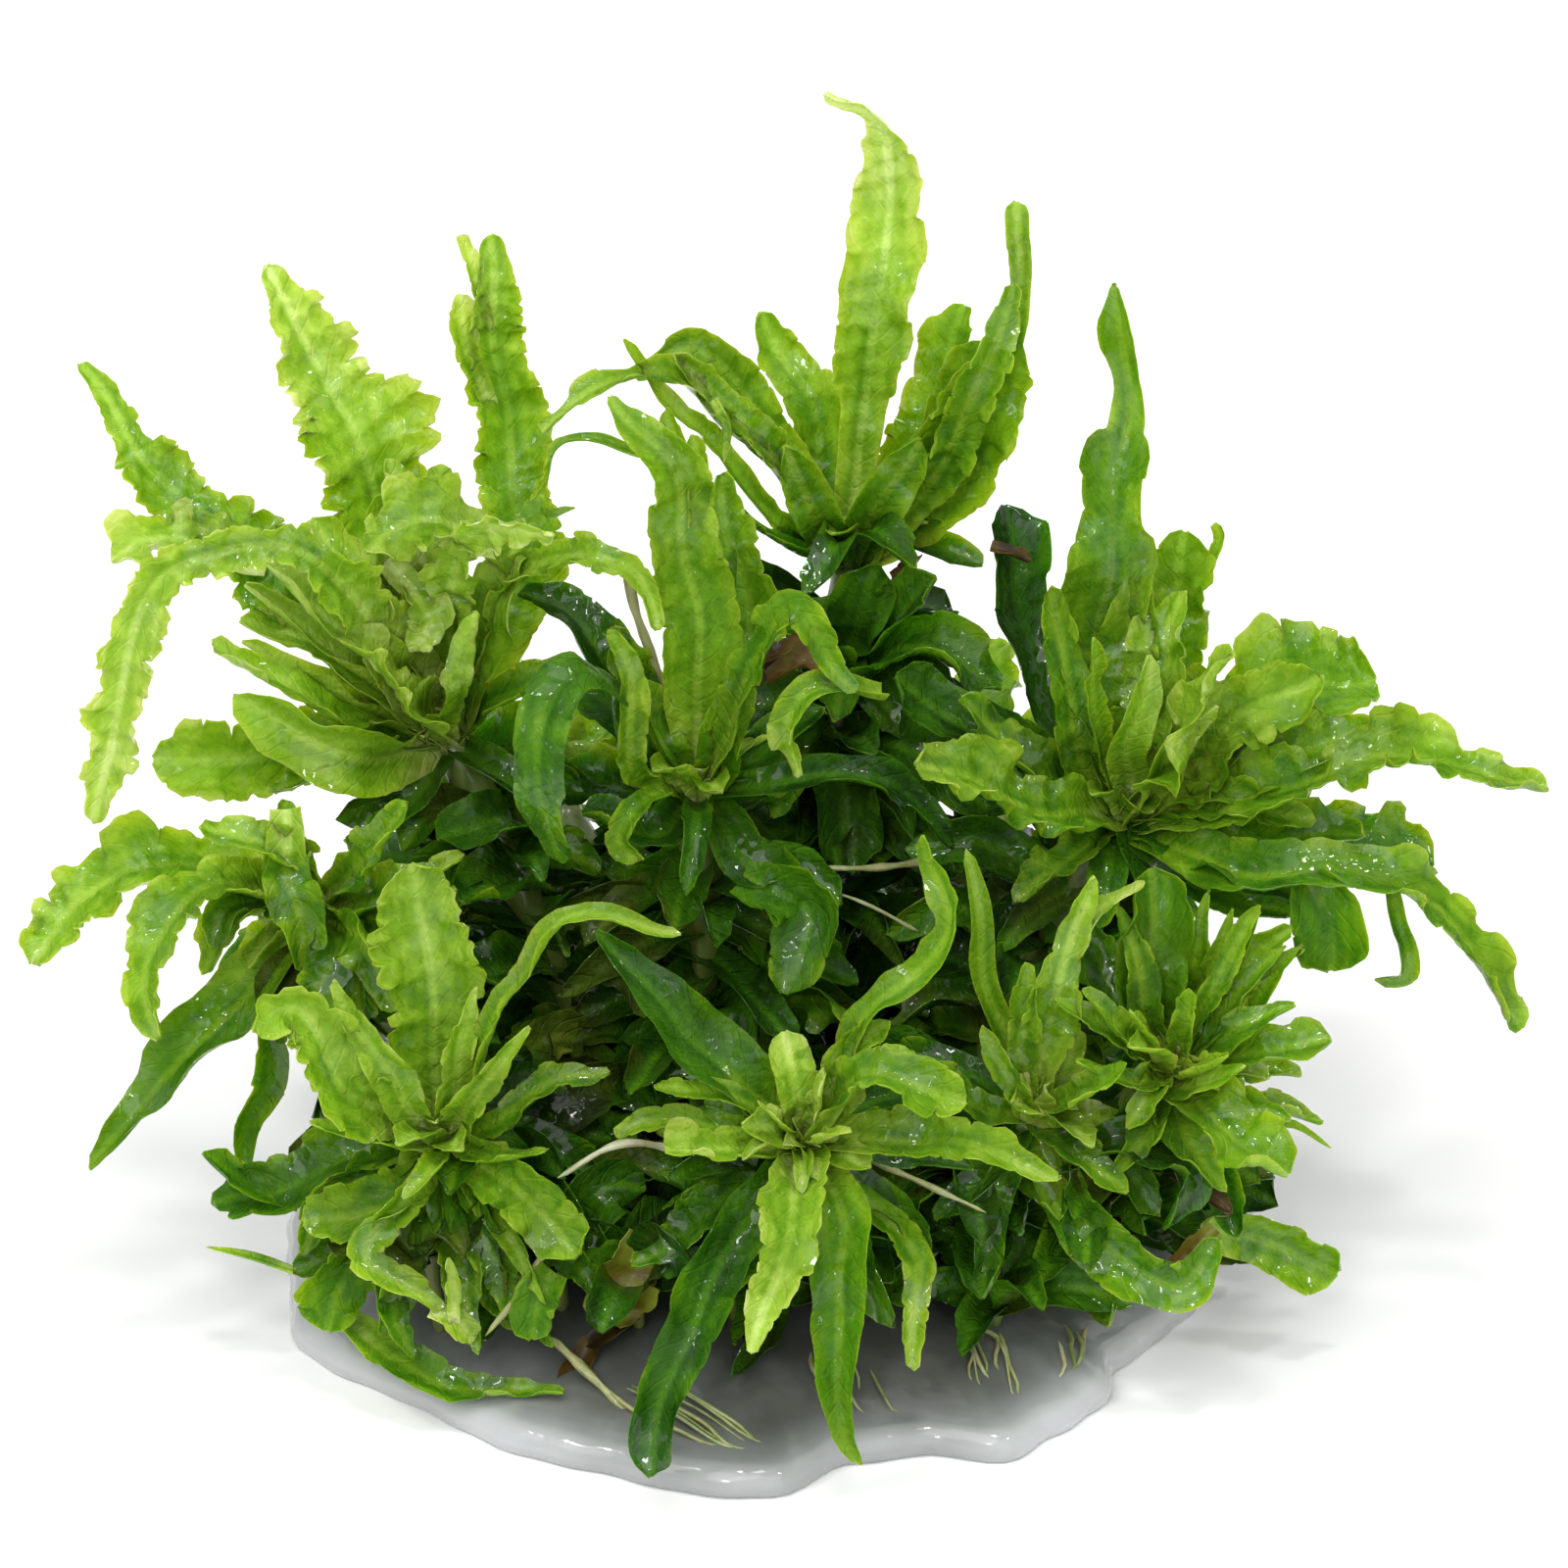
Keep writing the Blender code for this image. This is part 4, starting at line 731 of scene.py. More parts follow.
def smooth_path(points, step):
    """A smooth line through the points, cut into even steps of about the given length."""
    spread = [2 * points[0] - points[1], *points, 2 * points[-1] - points[-2]]
    t = np.arange(PATH_SAMPLES)[:, None] / PATH_SAMPLES
    dense = []
    for a, b, c, d in zip(spread, spread[1:], spread[2:], spread[3:]):
        cubic = (3 * b - a - 3 * c + d) * t ** 3
        square = (2 * a - 5 * b + 4 * c - d) * t ** 2
        dense.append((2 * b + (c - a) * t + square + cubic) / 2)
    dense = np.vstack([*dense, points[-1]])
    reached = np.concatenate([[0.0], np.cumsum(np.linalg.norm(np.diff(dense, axis=0), axis=1))])
    stations = max(4, round(reached[-1] / step))
    wanted = np.linspace(0.0, reached[-1], stations + 1)
    path = np.column_stack([np.interp(wanted, reached, dense[:, axis]) for axis in range(3)])
    return path, reached[-1]


def path_frames(path, face):
    """The directions along a path, to its side and to its face, which looks the given way."""
    tangents = np.gradient(path, axis=0)
    tangents /= np.linalg.norm(tangents, axis=1)[:, None]
    middle = len(path) // 2
    sides = np.zeros_like(path)
    sides[middle] = unit(np.cross(tangents[middle], face))
    for index in [*range(middle + 1, len(path)), *range(middle - 1, -1, -1)]:
        side = sides[index - 1] if index > middle else sides[index + 1]
        sides[index] = unit(side - tangents[index] * (side @ tangents[index]))
    return tangents, sides, np.cross(sides, tangents)


def smooth_step(low, high, values):
    """From 0 below the low value to 1 above the high one, smoothly."""
    share = np.clip((values - low) / (high - low), 0.0, 1.0)
    return share * share * (3.0 - 2.0 * share)


class Sheaf:
    """Gathers the vertices, faces and colour values of many blades and tubes for one mesh."""

    def __init__(self):
        self.points = []
        self.faces = []
        self.values = {"tint": [], "along_mm": [], "across_mm": [], "edge": []}
        self.count = 0

    def add(self, points, faces, **values):
        self.points.append(points)
        self.faces.append(faces + self.count)
        for name, held in self.values.items():
            held.append(np.broadcast_to(values.get(name, 0.0), len(points)).astype(np.float32))
        self.count += len(points)

    def make_object(self, name, material):
        points = np.vstack(self.points) * MM
        faces = np.vstack(self.faces)
        mesh = bpy.data.meshes.new(name)
        mesh.vertices.add(len(points))
        mesh.vertices.foreach_set("co", points.astype(np.float32).ravel())
        mesh.loops.add(faces.size)
        mesh.loops.foreach_set("vertex_index", faces.astype(np.int32).ravel())
        mesh.polygons.add(len(faces))
        mesh.polygons.foreach_set("loop_start", np.arange(0, faces.size, 4, dtype=np.int32))
        mesh.update(calc_edges=True)
        mesh.validate()
        mesh.shade_smooth()
        mesh.set_sharp_from_angle(angle=SHARP_RIM)
        for value, held in self.values.items():
            attribute = mesh.attributes.new(value, "FLOAT", "POINT")
            attribute.data.foreach_set("value", np.concatenate(held))
        item = bpy.data.objects.new(name, mesh)
        item.data.materials.append(material)
        bpy.context.scene.collection.objects.link(item)
        return item


def grid_faces(rows, columns, start=0, flipped=False):
    """The four-sided faces of a grid of vertices."""
    index = np.arange(rows * columns).reshape(rows, columns) + start
    a, b = index[:-1, :-1].ravel(), index[:-1, 1:].ravel()
    c, d = index[1:, 1:].ravel(), index[1:, :-1].ravel()
    return np.column_stack((a, d, c, b) if flipped else (a, b, c, d))


def rim_faces(rows, columns):
    """The faces that join the upper and lower grids of a blade all the way round."""
    index = np.arange(rows * columns).reshape(rows, columns)
    ring = np.concatenate([index[0, :-1], index[:-1, -1], index[-1, :0:-1], index[:0:-1, 0]])
    following = np.roll(ring, -1)
    below = rows * columns
    return np.column_stack((ring, ring + below, following + below, following))


# The blades of leaves

def lobes_along(s, length, lobe, dice):
    """The uneven lobes of one edge: how full it is at each distance, how it rises and fans out."""
    ends = [-lobe * dice.uniform(0.0, 1.0)]
    while ends[-1] <= length:
        ends.append(ends[-1] + lobe * dice.uniform(*LOBE_SPREAD))
    notches, bulges, rises = (np.array([dice.uniform(*spread) for _ in ends])
                              for spread in (NOTCH_SPREAD, BULGE_SPREAD, RISE_SPREAD))
    rises[::2] *= -1.0
    ends = np.array(ends)
    index = np.clip(np.searchsorted(ends, s, side="right") - 1, 0, len(ends) - 2)
    share = (s - ends[index]) / (ends[index + 1] - ends[index])
    arch = np.sin(np.pi * share)
    fullness = arch ** LOBE_ROUNDNESS
    notch = notches[index] + (notches[index + 1] - notches[index]) * share
    scallops = np.sin(s * 2.0 * np.pi / (lobe * SCALLOP_SHARE) + 2.0 * np.sin(s * 0.9 + ends[0]))
    full = bulges[index] * fullness - notch * (1.0 - fullness) + SCALLOP_DEPTH * scallops
    fan = -LOBE_FAN * (ends[index + 1] - ends[index]) * np.sin(2.0 * np.pi * share)
    return full, rises[index] * arch, fan


def wandering(path, length, dice):
    """The path with slight random bends, which are nothing at its base."""
    s = np.linspace(0.0, length, len(path))[:, None]
    size = min(WANDER_SHARE * length, MOST_WANDER) * smooth_step(0.05, 0.5, s / length)
    for _ in range(2):
        way = unit(np.array([dice.uniform(-1.0, 1.0) for _ in range(3)]))
        start = dice.uniform(*ANY_PHASE)
        path = path + way * size * (np.sin(s / dice.uniform(*WANDER_LENGTH) + start) - math.sin(start))
    return path


def blade_line(leaf, origin, dice, start):
    """The midrib of a leaf, its length, and the ways along, across and out of its face."""
    outward = unit(leaf.points[0] - origin)
    step = min(COARSEST_STEP, leaf.lobe / LOBE_STEPS) if leaf.frill > FRILLED else COARSEST_STEP
    path, length = smooth_path([origin + outward * start, *leaf.points], step * leaf.coarse)
    path = wandering(path, length, dice)
    tangents, sides, faces = path_frames(path, leaf.face)
    twist = leaf.twist + dice.uniform(-MOST_TWIST, MOST_TWIST)
    turn = twist * np.linspace(TWIST_AT_BASE, 1.0, len(path))[:, None]
    turned = sides * np.cos(turn) + faces * np.sin(turn)
    return path, length, tangents, turned, faces * np.cos(turn) - sides * np.sin(turn)


class Blade:
    """The shape of one blade on a grid, with its midrib, veins, frills and waves.

    u is the share of the way from base to tip, s the same in millimetres, v the share of the way
    from the midrib to the edge on the right, or less than nothing on the left, and reach its size.
    """

    def __init__(self, leaf, origin, dice, start):
        self.leaf = leaf
        self.path, self.length, *self.ways = blade_line(leaf, origin, dice, start)
        self.rows = len(self.path)
        cells = np.clip(leaf.width / ACROSS_STEP / leaf.coarse, FEWEST_ACROSS, MOST_ACROSS)
        self.columns = int(cells) // 2 * 2 + 1
        v = np.linspace(-1.0, 1.0, self.columns)[None, :]
        self.u = np.linspace(0.0, 1.0, self.rows)[:, None]
        self.v = np.sign(v) * np.abs(v) ** EDGE_CROWDING
        self.s = self.u * self.length
        self.reach = np.abs(self.v)
        self.ruffled = leaf.frill > FRILLED
        self.shape_edges(dice)
        self.upper = self.upper_side(dice)

    def shape_edges(self, dice):
        """How wide the blade is at each place, with its lobes, and how they rise and fan out."""
        leaf, u, s = self.leaf, self.u, self.s
        half = eased(leaf.outline, u) * leaf.width / 2.0
        tip = TIP_ROUNDING * leaf.width * leaf.outline[-1] / self.length
        half = half * np.sqrt(np.clip(1.0 - np.clip((u - 1.0 + tip) / tip, 0.0, 1.0) ** 2, 0.01, 1.0))
        self.grown = smooth_step(*RUFFLES_GROW, u) * np.clip(half / (leaf.width * 0.35), 0.25, 1.0)
        self.swell = [np.sin(s / dice.uniform(*SWELL_LENGTH) + dice.uniform(*ANY_PHASE))
                      for _ in range(2)]
        left = self.v < 0.0
        self.half = half * (1.0 + leaf.frill * SWELL_SHARE * self.grown * np.where(left, *self.swell))
        self.other_swell = np.where(left, *self.swell[::-1])
        edges = [lobes_along(s[:, 0], self.length, leaf.lobe, dice) for _ in range(2)]
        fullness, self.rising, self.fan = (
            np.where(left, one[:, None], other[:, None]) for one, other in zip(*edges))
        self.half_here = self.half * (1.0 + leaf.frill * fullness * self.grown * self.reach ** 1.5)
        self.flat = np.abs(self.v * self.half)

    def upper_side(self, dice):
        """The points of the upper side: out from the midrib, up from it, and along it."""
        leaf, v, reach, grown, half = self.leaf, self.v, self.reach, self.grown, self.half
        cup = leaf.cup * (1.0 + CUP_CHANGE * self.swell[0])
        cup = np.where(np.abs(cup) < FLATTEST_CUP, FLATTEST_CUP, cup)
        rise = (1.0 - np.cos(cup * reach)) / cup * half
        inward = np.sin(cup * reach) / (cup * np.maximum(reach, 1e-6))
        lateral = v * self.half_here * np.where(reach < 1e-6, 1.0, inward)
        wave = leaf.wave * grown * np.clip(leaf.width / 4.0, 0.4, 1.2)
        ruffle = wave * reach ** 1.7 * self.rising
        slow = SLOW_WAVE * grown * reach * self.other_swell * np.clip(leaf.width / 4.0, 0.2, 1.2)
        shift = self.fan * grown * reach ** 2 * self.ruffled
        lateral = lateral - np.sign(v) * 0.25 * np.abs(ruffle) * reach
        quilt = self.quilting(self.crumples(dice))
        groove = GROOVE_DEPTH * np.exp(-(self.flat / GROOVE_WIDTH) ** 2) * (1.0 - 0.8 * self.u)
        lift = FOLD * self.flat + rise + ruffle + slow + quilt - groove
        tangents, sides, faces = (way[:, None, :] for way in self.ways)
        return (self.path[:, None, :] + sides * lateral[:, :, None]
                + faces * lift[:, :, None] + tangents * shift[:, :, None])

    def crumples(self, dice):
        """Uneven bumps and dents all over the blade."""
        s, across = self.s, self.v * self.half
        starts = [dice.uniform(*ANY_PHASE) for _ in range(4)]
        broad = np.sin(s * 2.9 + across * 1.9 + starts[0]) * np.sin(s * 1.3 - across * 3.1 + starts[1])
        fine = np.sin(s * 5.3 - across * 2.7 + starts[2]) * np.sin(across * 4.9 + starts[3])
        return broad + 0.5 * fine

    def quilting(self, crumples):
        """How far the blade bulges between its veins, and crumples."""
        vein = (self.s - self.flat * VEIN_SLANT) / VEIN_SPACING
        bulges = QUILT_DEPTH * np.cos(2.0 * np.pi * vein) * smooth_step(0.05, 0.5, self.reach)
        quilt = bulges * (1.0 - self.reach ** 4) + self.leaf.crumple * crumples
        return quilt * smooth_step(0.05, 0.4, self.u) * np.clip(self.half / 1.4, 0.2, 1.2)

    def lower_side(self):
        """The points of the underside, below those of the upper side by the blade's thickness."""
        normals = np.cross(np.gradient(self.upper, axis=1), np.gradient(self.upper, axis=0))
        normals /= np.maximum(np.linalg.norm(normals, axis=2), 1e-9)[:, :, None]
        keel = KEEL_THICKNESS * np.exp(-(self.flat / KEEL_WIDTH) ** 2) * (1.0 - 0.85 * self.u) ** 1.2
        body = EDGE_THICKNESS + (BLADE_THICKNESS - EDGE_THICKNESS) * (1.0 - self.reach ** 3)
        thick = (body + keel) * np.clip(self.leaf.width / 3.0, 0.45, 1.0)
        return self.upper - normals * thick[:, :, None]

    def tints(self):
        """The tint at each place of the upper side, with painted light at its base and painted highlight
        and shade on its lobes.
        """
        low, high = self.leaf.tint
        tint = low + (high - low) * smooth_step(0.15, 0.95, self.u)
        tint = tint + EDGE_PALING * self.leaf.frill * smooth_step(0.6, 1.0, self.reach) * self.grown
        # Painted highlight on the lobes that stand up, and painted shade on those that dip
        tint = tint + LOBE_HIGHLIGHT_AND_SHADE * self.rising * self.reach * self.grown * self.ruffled
        # The paler base is partly the leaf's young tissue and partly painted light against the shade in the
        # crown
        pale_and_lit_base = BASE_PALING_AND_LIGHT * np.clip((low - 0.2) * 4.0, 0.2, 1.0)
        return tint + pale_and_lit_base * (1.0 - smooth_step(0.0, 0.45, self.u))


def add_blade(sheaf, leaf, origin, dice, start=BLADE_START):
    """Adds a leaf blade as a closed thin shell."""
    if leaf.root is not None:
        origin, start = leaf.root, 0.0
    blade = Blade(leaf, origin, dice, start)
    rows, columns = blade.rows, blade.columns
    upper_grid = grid_faces(rows, columns)
    lower_grid = grid_faces(rows, columns, rows * columns, flipped=True)
    tint = blade.tints()
    sheaf.add(
        np.vstack([blade.upper.reshape(-1, 3), blade.lower_side().reshape(-1, 3)]),
        np.vstack([upper_grid, lower_grid, rim_faces(rows, columns)]),
        tint=np.concatenate([tint.ravel(), tint.ravel() + UNDERSIDE_PALING]),
        along_mm=np.tile(np.broadcast_to(blade.s, tint.shape).ravel(), 2),
        across_mm=np.tile((blade.v * blade.half).ravel(), 2),
        edge=np.tile(np.broadcast_to(blade.reach, tint.shape).ravel(), 2),
    )


# Stalks, roots and the gel

def cap_faces(sides, start, flipped=False):
    """The faces that close a ring with an even number of vertices."""
    faces = np.array([(i, i + 1, sides - 2 - i, sides - 1 - i) for i in range(sides // 2 - 1)])
    return (faces[:, ::-1] if flipped else faces) + start


def wall_faces(rings, sides):
    """The faces between rings with the same number of vertices."""
    index = np.arange(rings * sides).reshape(rings, sides)
    after = np.roll(index, -1, axis=1)
    return np.column_stack(
        (index[:-1].ravel(), index[1:].ravel(), after[1:].ravel(), after[:-1].ravel()))


def add_tube(sheaf, points, radii, tint, sides=8, step=0.8, lumps=0.0, dice=None):
    """A round stalk or root through the points, closed at both ends."""
    path, length = smooth_path([np.asarray(point, float) for point in points], step)
    _, across, up = path_frames(path, TUBE_FACE)
    rows = len(path)
    u = np.linspace(0.0, 1.0, rows)[:, None]
    ends = (2.0 * np.abs(u - 0.5)) ** TUBE_END_ROUNDING
    radius = eased(radii, u) * np.sqrt(np.clip(1.0 - ends, 0.04, 1.0))
    turn = np.linspace(0.0, 2.0 * np.pi, sides + 1)[None, :-1]
    radius = np.broadcast_to(radius, (rows, sides))
    if lumps:
        start = dice.uniform(*ANY_PHASE)
        radius = radius * (1.0 + lumps * np.sin(u * length * 1.9 + start + np.cos(turn * 2.0 + start)))
    ring = (path[:, None, :] + across[:, None, :] * (radius * np.cos(turn))[:, :, None]
            + up[:, None, :] * (radius * np.sin(turn))[:, :, None])
    faces = np.vstack([wall_faces(rows, sides), cap_faces(sides, 0),
                       cap_faces(sides, (rows - 1) * sides, flipped=True)])
    along = np.broadcast_to(u * length, (rows, sides)).ravel()
    sheaf.add(ring.reshape(-1, 3), faces, tint=tint, along_mm=along, across_mm=1.0)


def gel_reach(angles):
    """How far the gel pad reaches at each angle, in millimetres."""
    degrees = np.degrees(angles) % 360.0
    first, last = GEL_EDGE[0], GEL_EDGE[-1]
    edge = np.array([(last[0] - 360, last[1]), *GEL_EDGE, (first[0] + 360, first[1])])
    index = np.clip(np.searchsorted(edge[:, 0], degrees) - 1, 0, len(edge) - 2)
    share = (degrees - edge[index, 0]) / (edge[index + 1, 0] - edge[index, 0])
    ease = (1.0 - np.cos(np.pi * share)) / 2.0
    return edge[index, 1] + (edge[index + 1, 1] - edge[index, 1]) * ease


def gel_height(share):
    """The height of the gel at a share of the way from its middle to its edge."""
    rim = (GEL_RIM_HEIGHT - GEL_EDGE_HEIGHT) * np.sqrt(np.maximum(0.0, 1.0 - share ** 6))
    return GEL_EDGE_HEIGHT + rim + GEL_DOME_HEIGHT * (1.0 - share ** 2)


def gel_top(x, y):
    """The height of the gel under a place."""
    share = math.hypot(x, y) / float(gel_reach(np.array(math.atan2(y, x))))
    return float(gel_height(min(share, 1.0)))


def stem_line(plantlet):
    """The points of the bare stem, from just above the gel to below its crown, and its lean."""
    foot = plantlet.foot
    ground = np.array((*foot, gel_top(*foot) + GAP))
    bend = np.array((*foot, (ground[2] * 2.0 + plantlet.crown[2]) / 3.0))
    lean = unit(plantlet.crown - bend)
    below = plantlet.crown - lean * CROWN_LENGTH
    path, _ = smooth_path([ground, bend, below], STEM_PATH_STEP)
    places = np.linspace(0, len(path) - 1, STEM_RINGS + 1).round().astype(int)
    return path[places], lean


def leaf_origin(plantlet, leaf):
    """Where a leaf grows: in the crown, or on the stem at a share of its line."""
    if leaf.base >= 1.0:
        return plantlet.crown
    line, _ = stem_line(plantlet)
    return line[round(leaf.base * STEM_RINGS)]


def rosette_axis(plantlet):
    """The way that the heart of a rosette looks."""
    ways = [unit(leaf.points[0] - plantlet.crown) for leaf in plantlet.large]
    return unit(np.mean(ways, axis=0) + np.array((0.0, 0.0, 0.3)))


def plain_leaf(root, way, lift, length, dice):
    """A small leaf that grows from a root the given way, bends down and stays above the gel."""
    middle = root + (way + np.array((0.0, 0.0, lift))) * length * 0.55
    end = root + (way + np.array((0.0, 0.0, lift * 0.7 - 0.2))) * length
    for point in (middle, end):
        point[2] = max(point[2], gel_top(point[0], point[1]) + FILL_CLEARANCE)
    # Deep tints: partly the leaves' own dark green, partly painted shade inside the clump
    shade = dice.choice(FILL_TINTS_AND_SHADE)
    make_leaf = deep if shade < DEEPEST_BRIGHT else bright
    leaf = make_leaf(
        dice.uniform(*FILL_WIDTH), coarse=FILL_COARSE, outline=dice.choice((STRAP, TAPERED, SWORD)),
        tint=(shade, shade + FILL_TIP_PALING), twist=dice.uniform(-FILL_TWIST, FILL_TWIST))
    leaf.points = [middle, end]
    leaf.root = root
    leaf.face = FILL_FACE + way * 0.3
    return leaf


def filling_leaves(plantlet, dice):
    """Small leaves all round the stem, which fill the clump below its crown."""
    line, _ = stem_line(plantlet)
    for number in range(plantlet.filling):
        share = (number + dice.uniform(0.2, 0.8)) / plantlet.filling
        step = (0.1 + 0.9 * share) * (len(line) - 1)
        index = min(int(step), len(line) - 2)
        root = line[index] + (line[index + 1] - line[index]) * (step - index)
        turn = number * GOLDEN_ANGLE + dice.uniform(-0.4, 0.4)
        way = np.array((math.cos(turn), math.sin(turn), 0.0))
        length = dice.uniform(*FILL_LENGTH) * (1.15 - 0.3 * share)
        yield plain_leaf(root, way, dice.uniform(*FILL_LIFT), length, dice)


def low_shoots(dice):
    """The foot and crown of each low shoot, spread evenly over the gel."""
    for number in range(SHOOTS):
        turn = number * GOLDEN_ANGLE
        reach = float(gel_reach(np.array(turn))) * SHOOT_REACH * math.sqrt((number + 0.5) / SHOOTS)
        x = reach * math.cos(turn)
        y = max(reach * math.sin(turn), SHOOT_FRONT + dice.uniform(0.0, 3.0))
        foot = np.array((x, y, gel_top(x, y) - SHOOT_DEPTH))
        lean = np.array((x, y, 0.0)) * SHOOT_LEAN
        yield foot, foot + lean + np.array((0.0, 0.0, dice.uniform(*SHOOT_HEIGHT)))


def heart_leaves(plantlet, dice):
    """The youngest leaves, upright in the crown."""
    axis = rosette_axis(plantlet)
    side = unit(np.cross(axis, (0.3, 0.2, 0.9)))
    other = np.cross(axis, side)
    for number in range(HEART_LEAVES + INNER_LEAVES):
        turn = number * GOLDEN_ANGLE
        way = side * math.cos(turn) + other * math.sin(turn)
        youngest = number < HEART_LEAVES
        length = dice.uniform(*(HEART_LENGTH if youngest else INNER_LENGTH))
        width = dice.uniform(*(HEART_WIDTH if youngest else INNER_WIDTH))
        tint = HEART_TINT_AND_LIGHT if youngest else INNER_TINT
        spread = HEART_SPREAD + HEART_OPENING * number
        leaf = bright(width, tint=tint, frill=0.12, wave=0.15, coarse=SMALL_COARSE)
        leaf.points = [plantlet.crown + unit(axis + way * spread) * length * 0.6,
                       plantlet.crown + unit(axis + way * spread * 1.5) * length]
        leaf.face = axis - way * 0.2
        leaf.root = plantlet.crown + way * 0.4
        yield leaf


# Helpers for materials

def add_node(tree, kind, *values, **settings):
    """A new node, with its settings, and with values or links in its first inputs."""
    node = tree.nodes.new("ShaderNode" + kind)
    for name, value in settings.items():
        setattr(node, name, value)
    for socket, value in zip(node.inputs, values):
        connect(tree, socket, value)
    return node


def connect(tree, socket, value):
    """Links a socket to another, or sets it to a plain value."""
    if isinstance(value, bpy.types.NodeSocket):
        tree.links.new(value, socket)
    elif value is not None:
        socket.default_value = value


def calculate(tree, operation, *values, clamp=False):
    """The result of a calculation with plain values or links."""
    return add_node(tree, "Math", *values, operation=operation, use_clamp=clamp).outputs[0]


def ramp(tree, factor, stops):
    """A colour ramp from (place, colour) pairs."""
    node = add_node(tree, "ValToRGB", factor)
    elements = node.color_ramp.elements
    while len(elements) < len(stops):
        elements.new(0.5)
    for element, (place, colour) in zip(elements, stops):
        element.position = place
        element.color = (*colour, 1.0)
    return node.outputs[0]


def between(tree, value, low, high, first, last):
    """Maps a value smoothly from one range to another."""
    node = add_node(tree, "MapRange", value, low, high, first, last, interpolation_type="SMOOTHSTEP")
    return node.outputs[0]


def mixed(tree, factor, first, second):
    """A blend of two colours."""
    node = add_node(tree, "Mix", data_type="RGBA")
    connect(tree, node.inputs[0], factor)
    connect(tree, node.inputs[6], first)
    connect(tree, node.inputs[7], second)
    return node.outputs[2]


def attribute(tree, name):
    """The values of the mesh by name, such as its tint."""
    return add_node(tree, "Attribute", attribute_name=name).outputs["Fac"]


def noise(tree, place, scale, detail=2.0, roughness=0.5):
    node = add_node(tree, "TexNoise")
    for name, value in {"Vector": place, "Scale": scale, "Detail": detail, "Roughness": roughness}.items():
        connect(tree, node.inputs[name], value)
    return node.outputs["Fac"]


def new_material(name, **sockets):
    """A material with a Principled shader, whose plain values are given by socket name."""
    material = bpy.data.materials.new(name)
    material.use_nodes = True
    tree = material.node_tree
    shader = tree.nodes["Principled BSDF"]
    for socket, value in sockets.items():
        shader.inputs[socket.replace("_", " ")].default_value = value
    return material, tree, shader


def stretched(tree, place, *factors):
    """Places multiplied by a factor for each axis."""
    return add_node(tree, "VectorMath", place, factors, operation="MULTIPLY").outputs[0]


def surface_place(tree):
    """Places on the object in millimetres."""
    coordinates = add_node(tree, "TexCoord").outputs["Object"]
    return stretched(tree, coordinates, 1.0 / MM, 1.0 / MM, 1.0 / MM)


def add_bump(tree, shader, socket, strength, depth, height):
    """Bumps for one of the shader's normals, as deep as given in metres."""
    bump = add_node(tree, "Bump", strength, depth)
    connect(tree, bump.inputs["Height"], height)
    connect(tree, shader.inputs[socket], bump.outputs[0])


# The materials

# From the deepest green to the palest
LEAF_COLOURS = [
    (0.00, (0.008, 0.030, 0.002)), (0.18, (0.020, 0.078, 0.003)), (0.36, (0.048, 0.148, 0.004)),
    (0.52, (0.112, 0.235, 0.007)), (0.68, (0.200, 0.345, 0.022)), (0.84, (0.325, 0.480, 0.070)),
    (1.00, (0.530, 0.680, 0.210)),
]

# Older tissue, which turns olive and brown
OLD_COLOURS = [
    (0.00, (0.012, 0.014, 0.003)), (0.35, (0.060, 0.070, 0.008)), (0.65, (0.150, 0.165, 0.020)),
    (1.00, (0.300, 0.300, 0.090)),
]

# The streaks along a leaf: how many to a millimetre across it, and the share of that along it
STREAKS = 1.5
STREAK_STRETCH = 0.14

# How much the patterns of a leaf shift its tint, by how much the whole is shifted, and how much
# stronger the midrib is than the veins
PATCH_TINT = 0.17
FINE_TINT = 0.15
STREAK_TINT = 0.32
TINT_SHIFT = -0.375
MIDRIB_TINT = 2.5

# The bumps of the cells and veins, and of the film of water on the leaves, in metres
CELL_DEPTH = 0.0002
WATER_DEPTH = 0.0003
WATER_RIPPLES = 1.1

# The leaf materials: how wet, how strong their veins, how much light passes, how yellowed in parts
LEAF_MATERIALS = {
    "pale_leaf": (0.7, 0.06, 0.65, 0.1),
    "bright_leaf": (0.65, 0.05, 0.55, 0.2),
    "deep_leaf": (0.75, 0.05, 0.3, 0.1),
    "small_leaf": (0.65, 0.05, 0.6, 0.2),
    "inner_leaf": (0.7, 0.05, 0.0, 0.7),
}


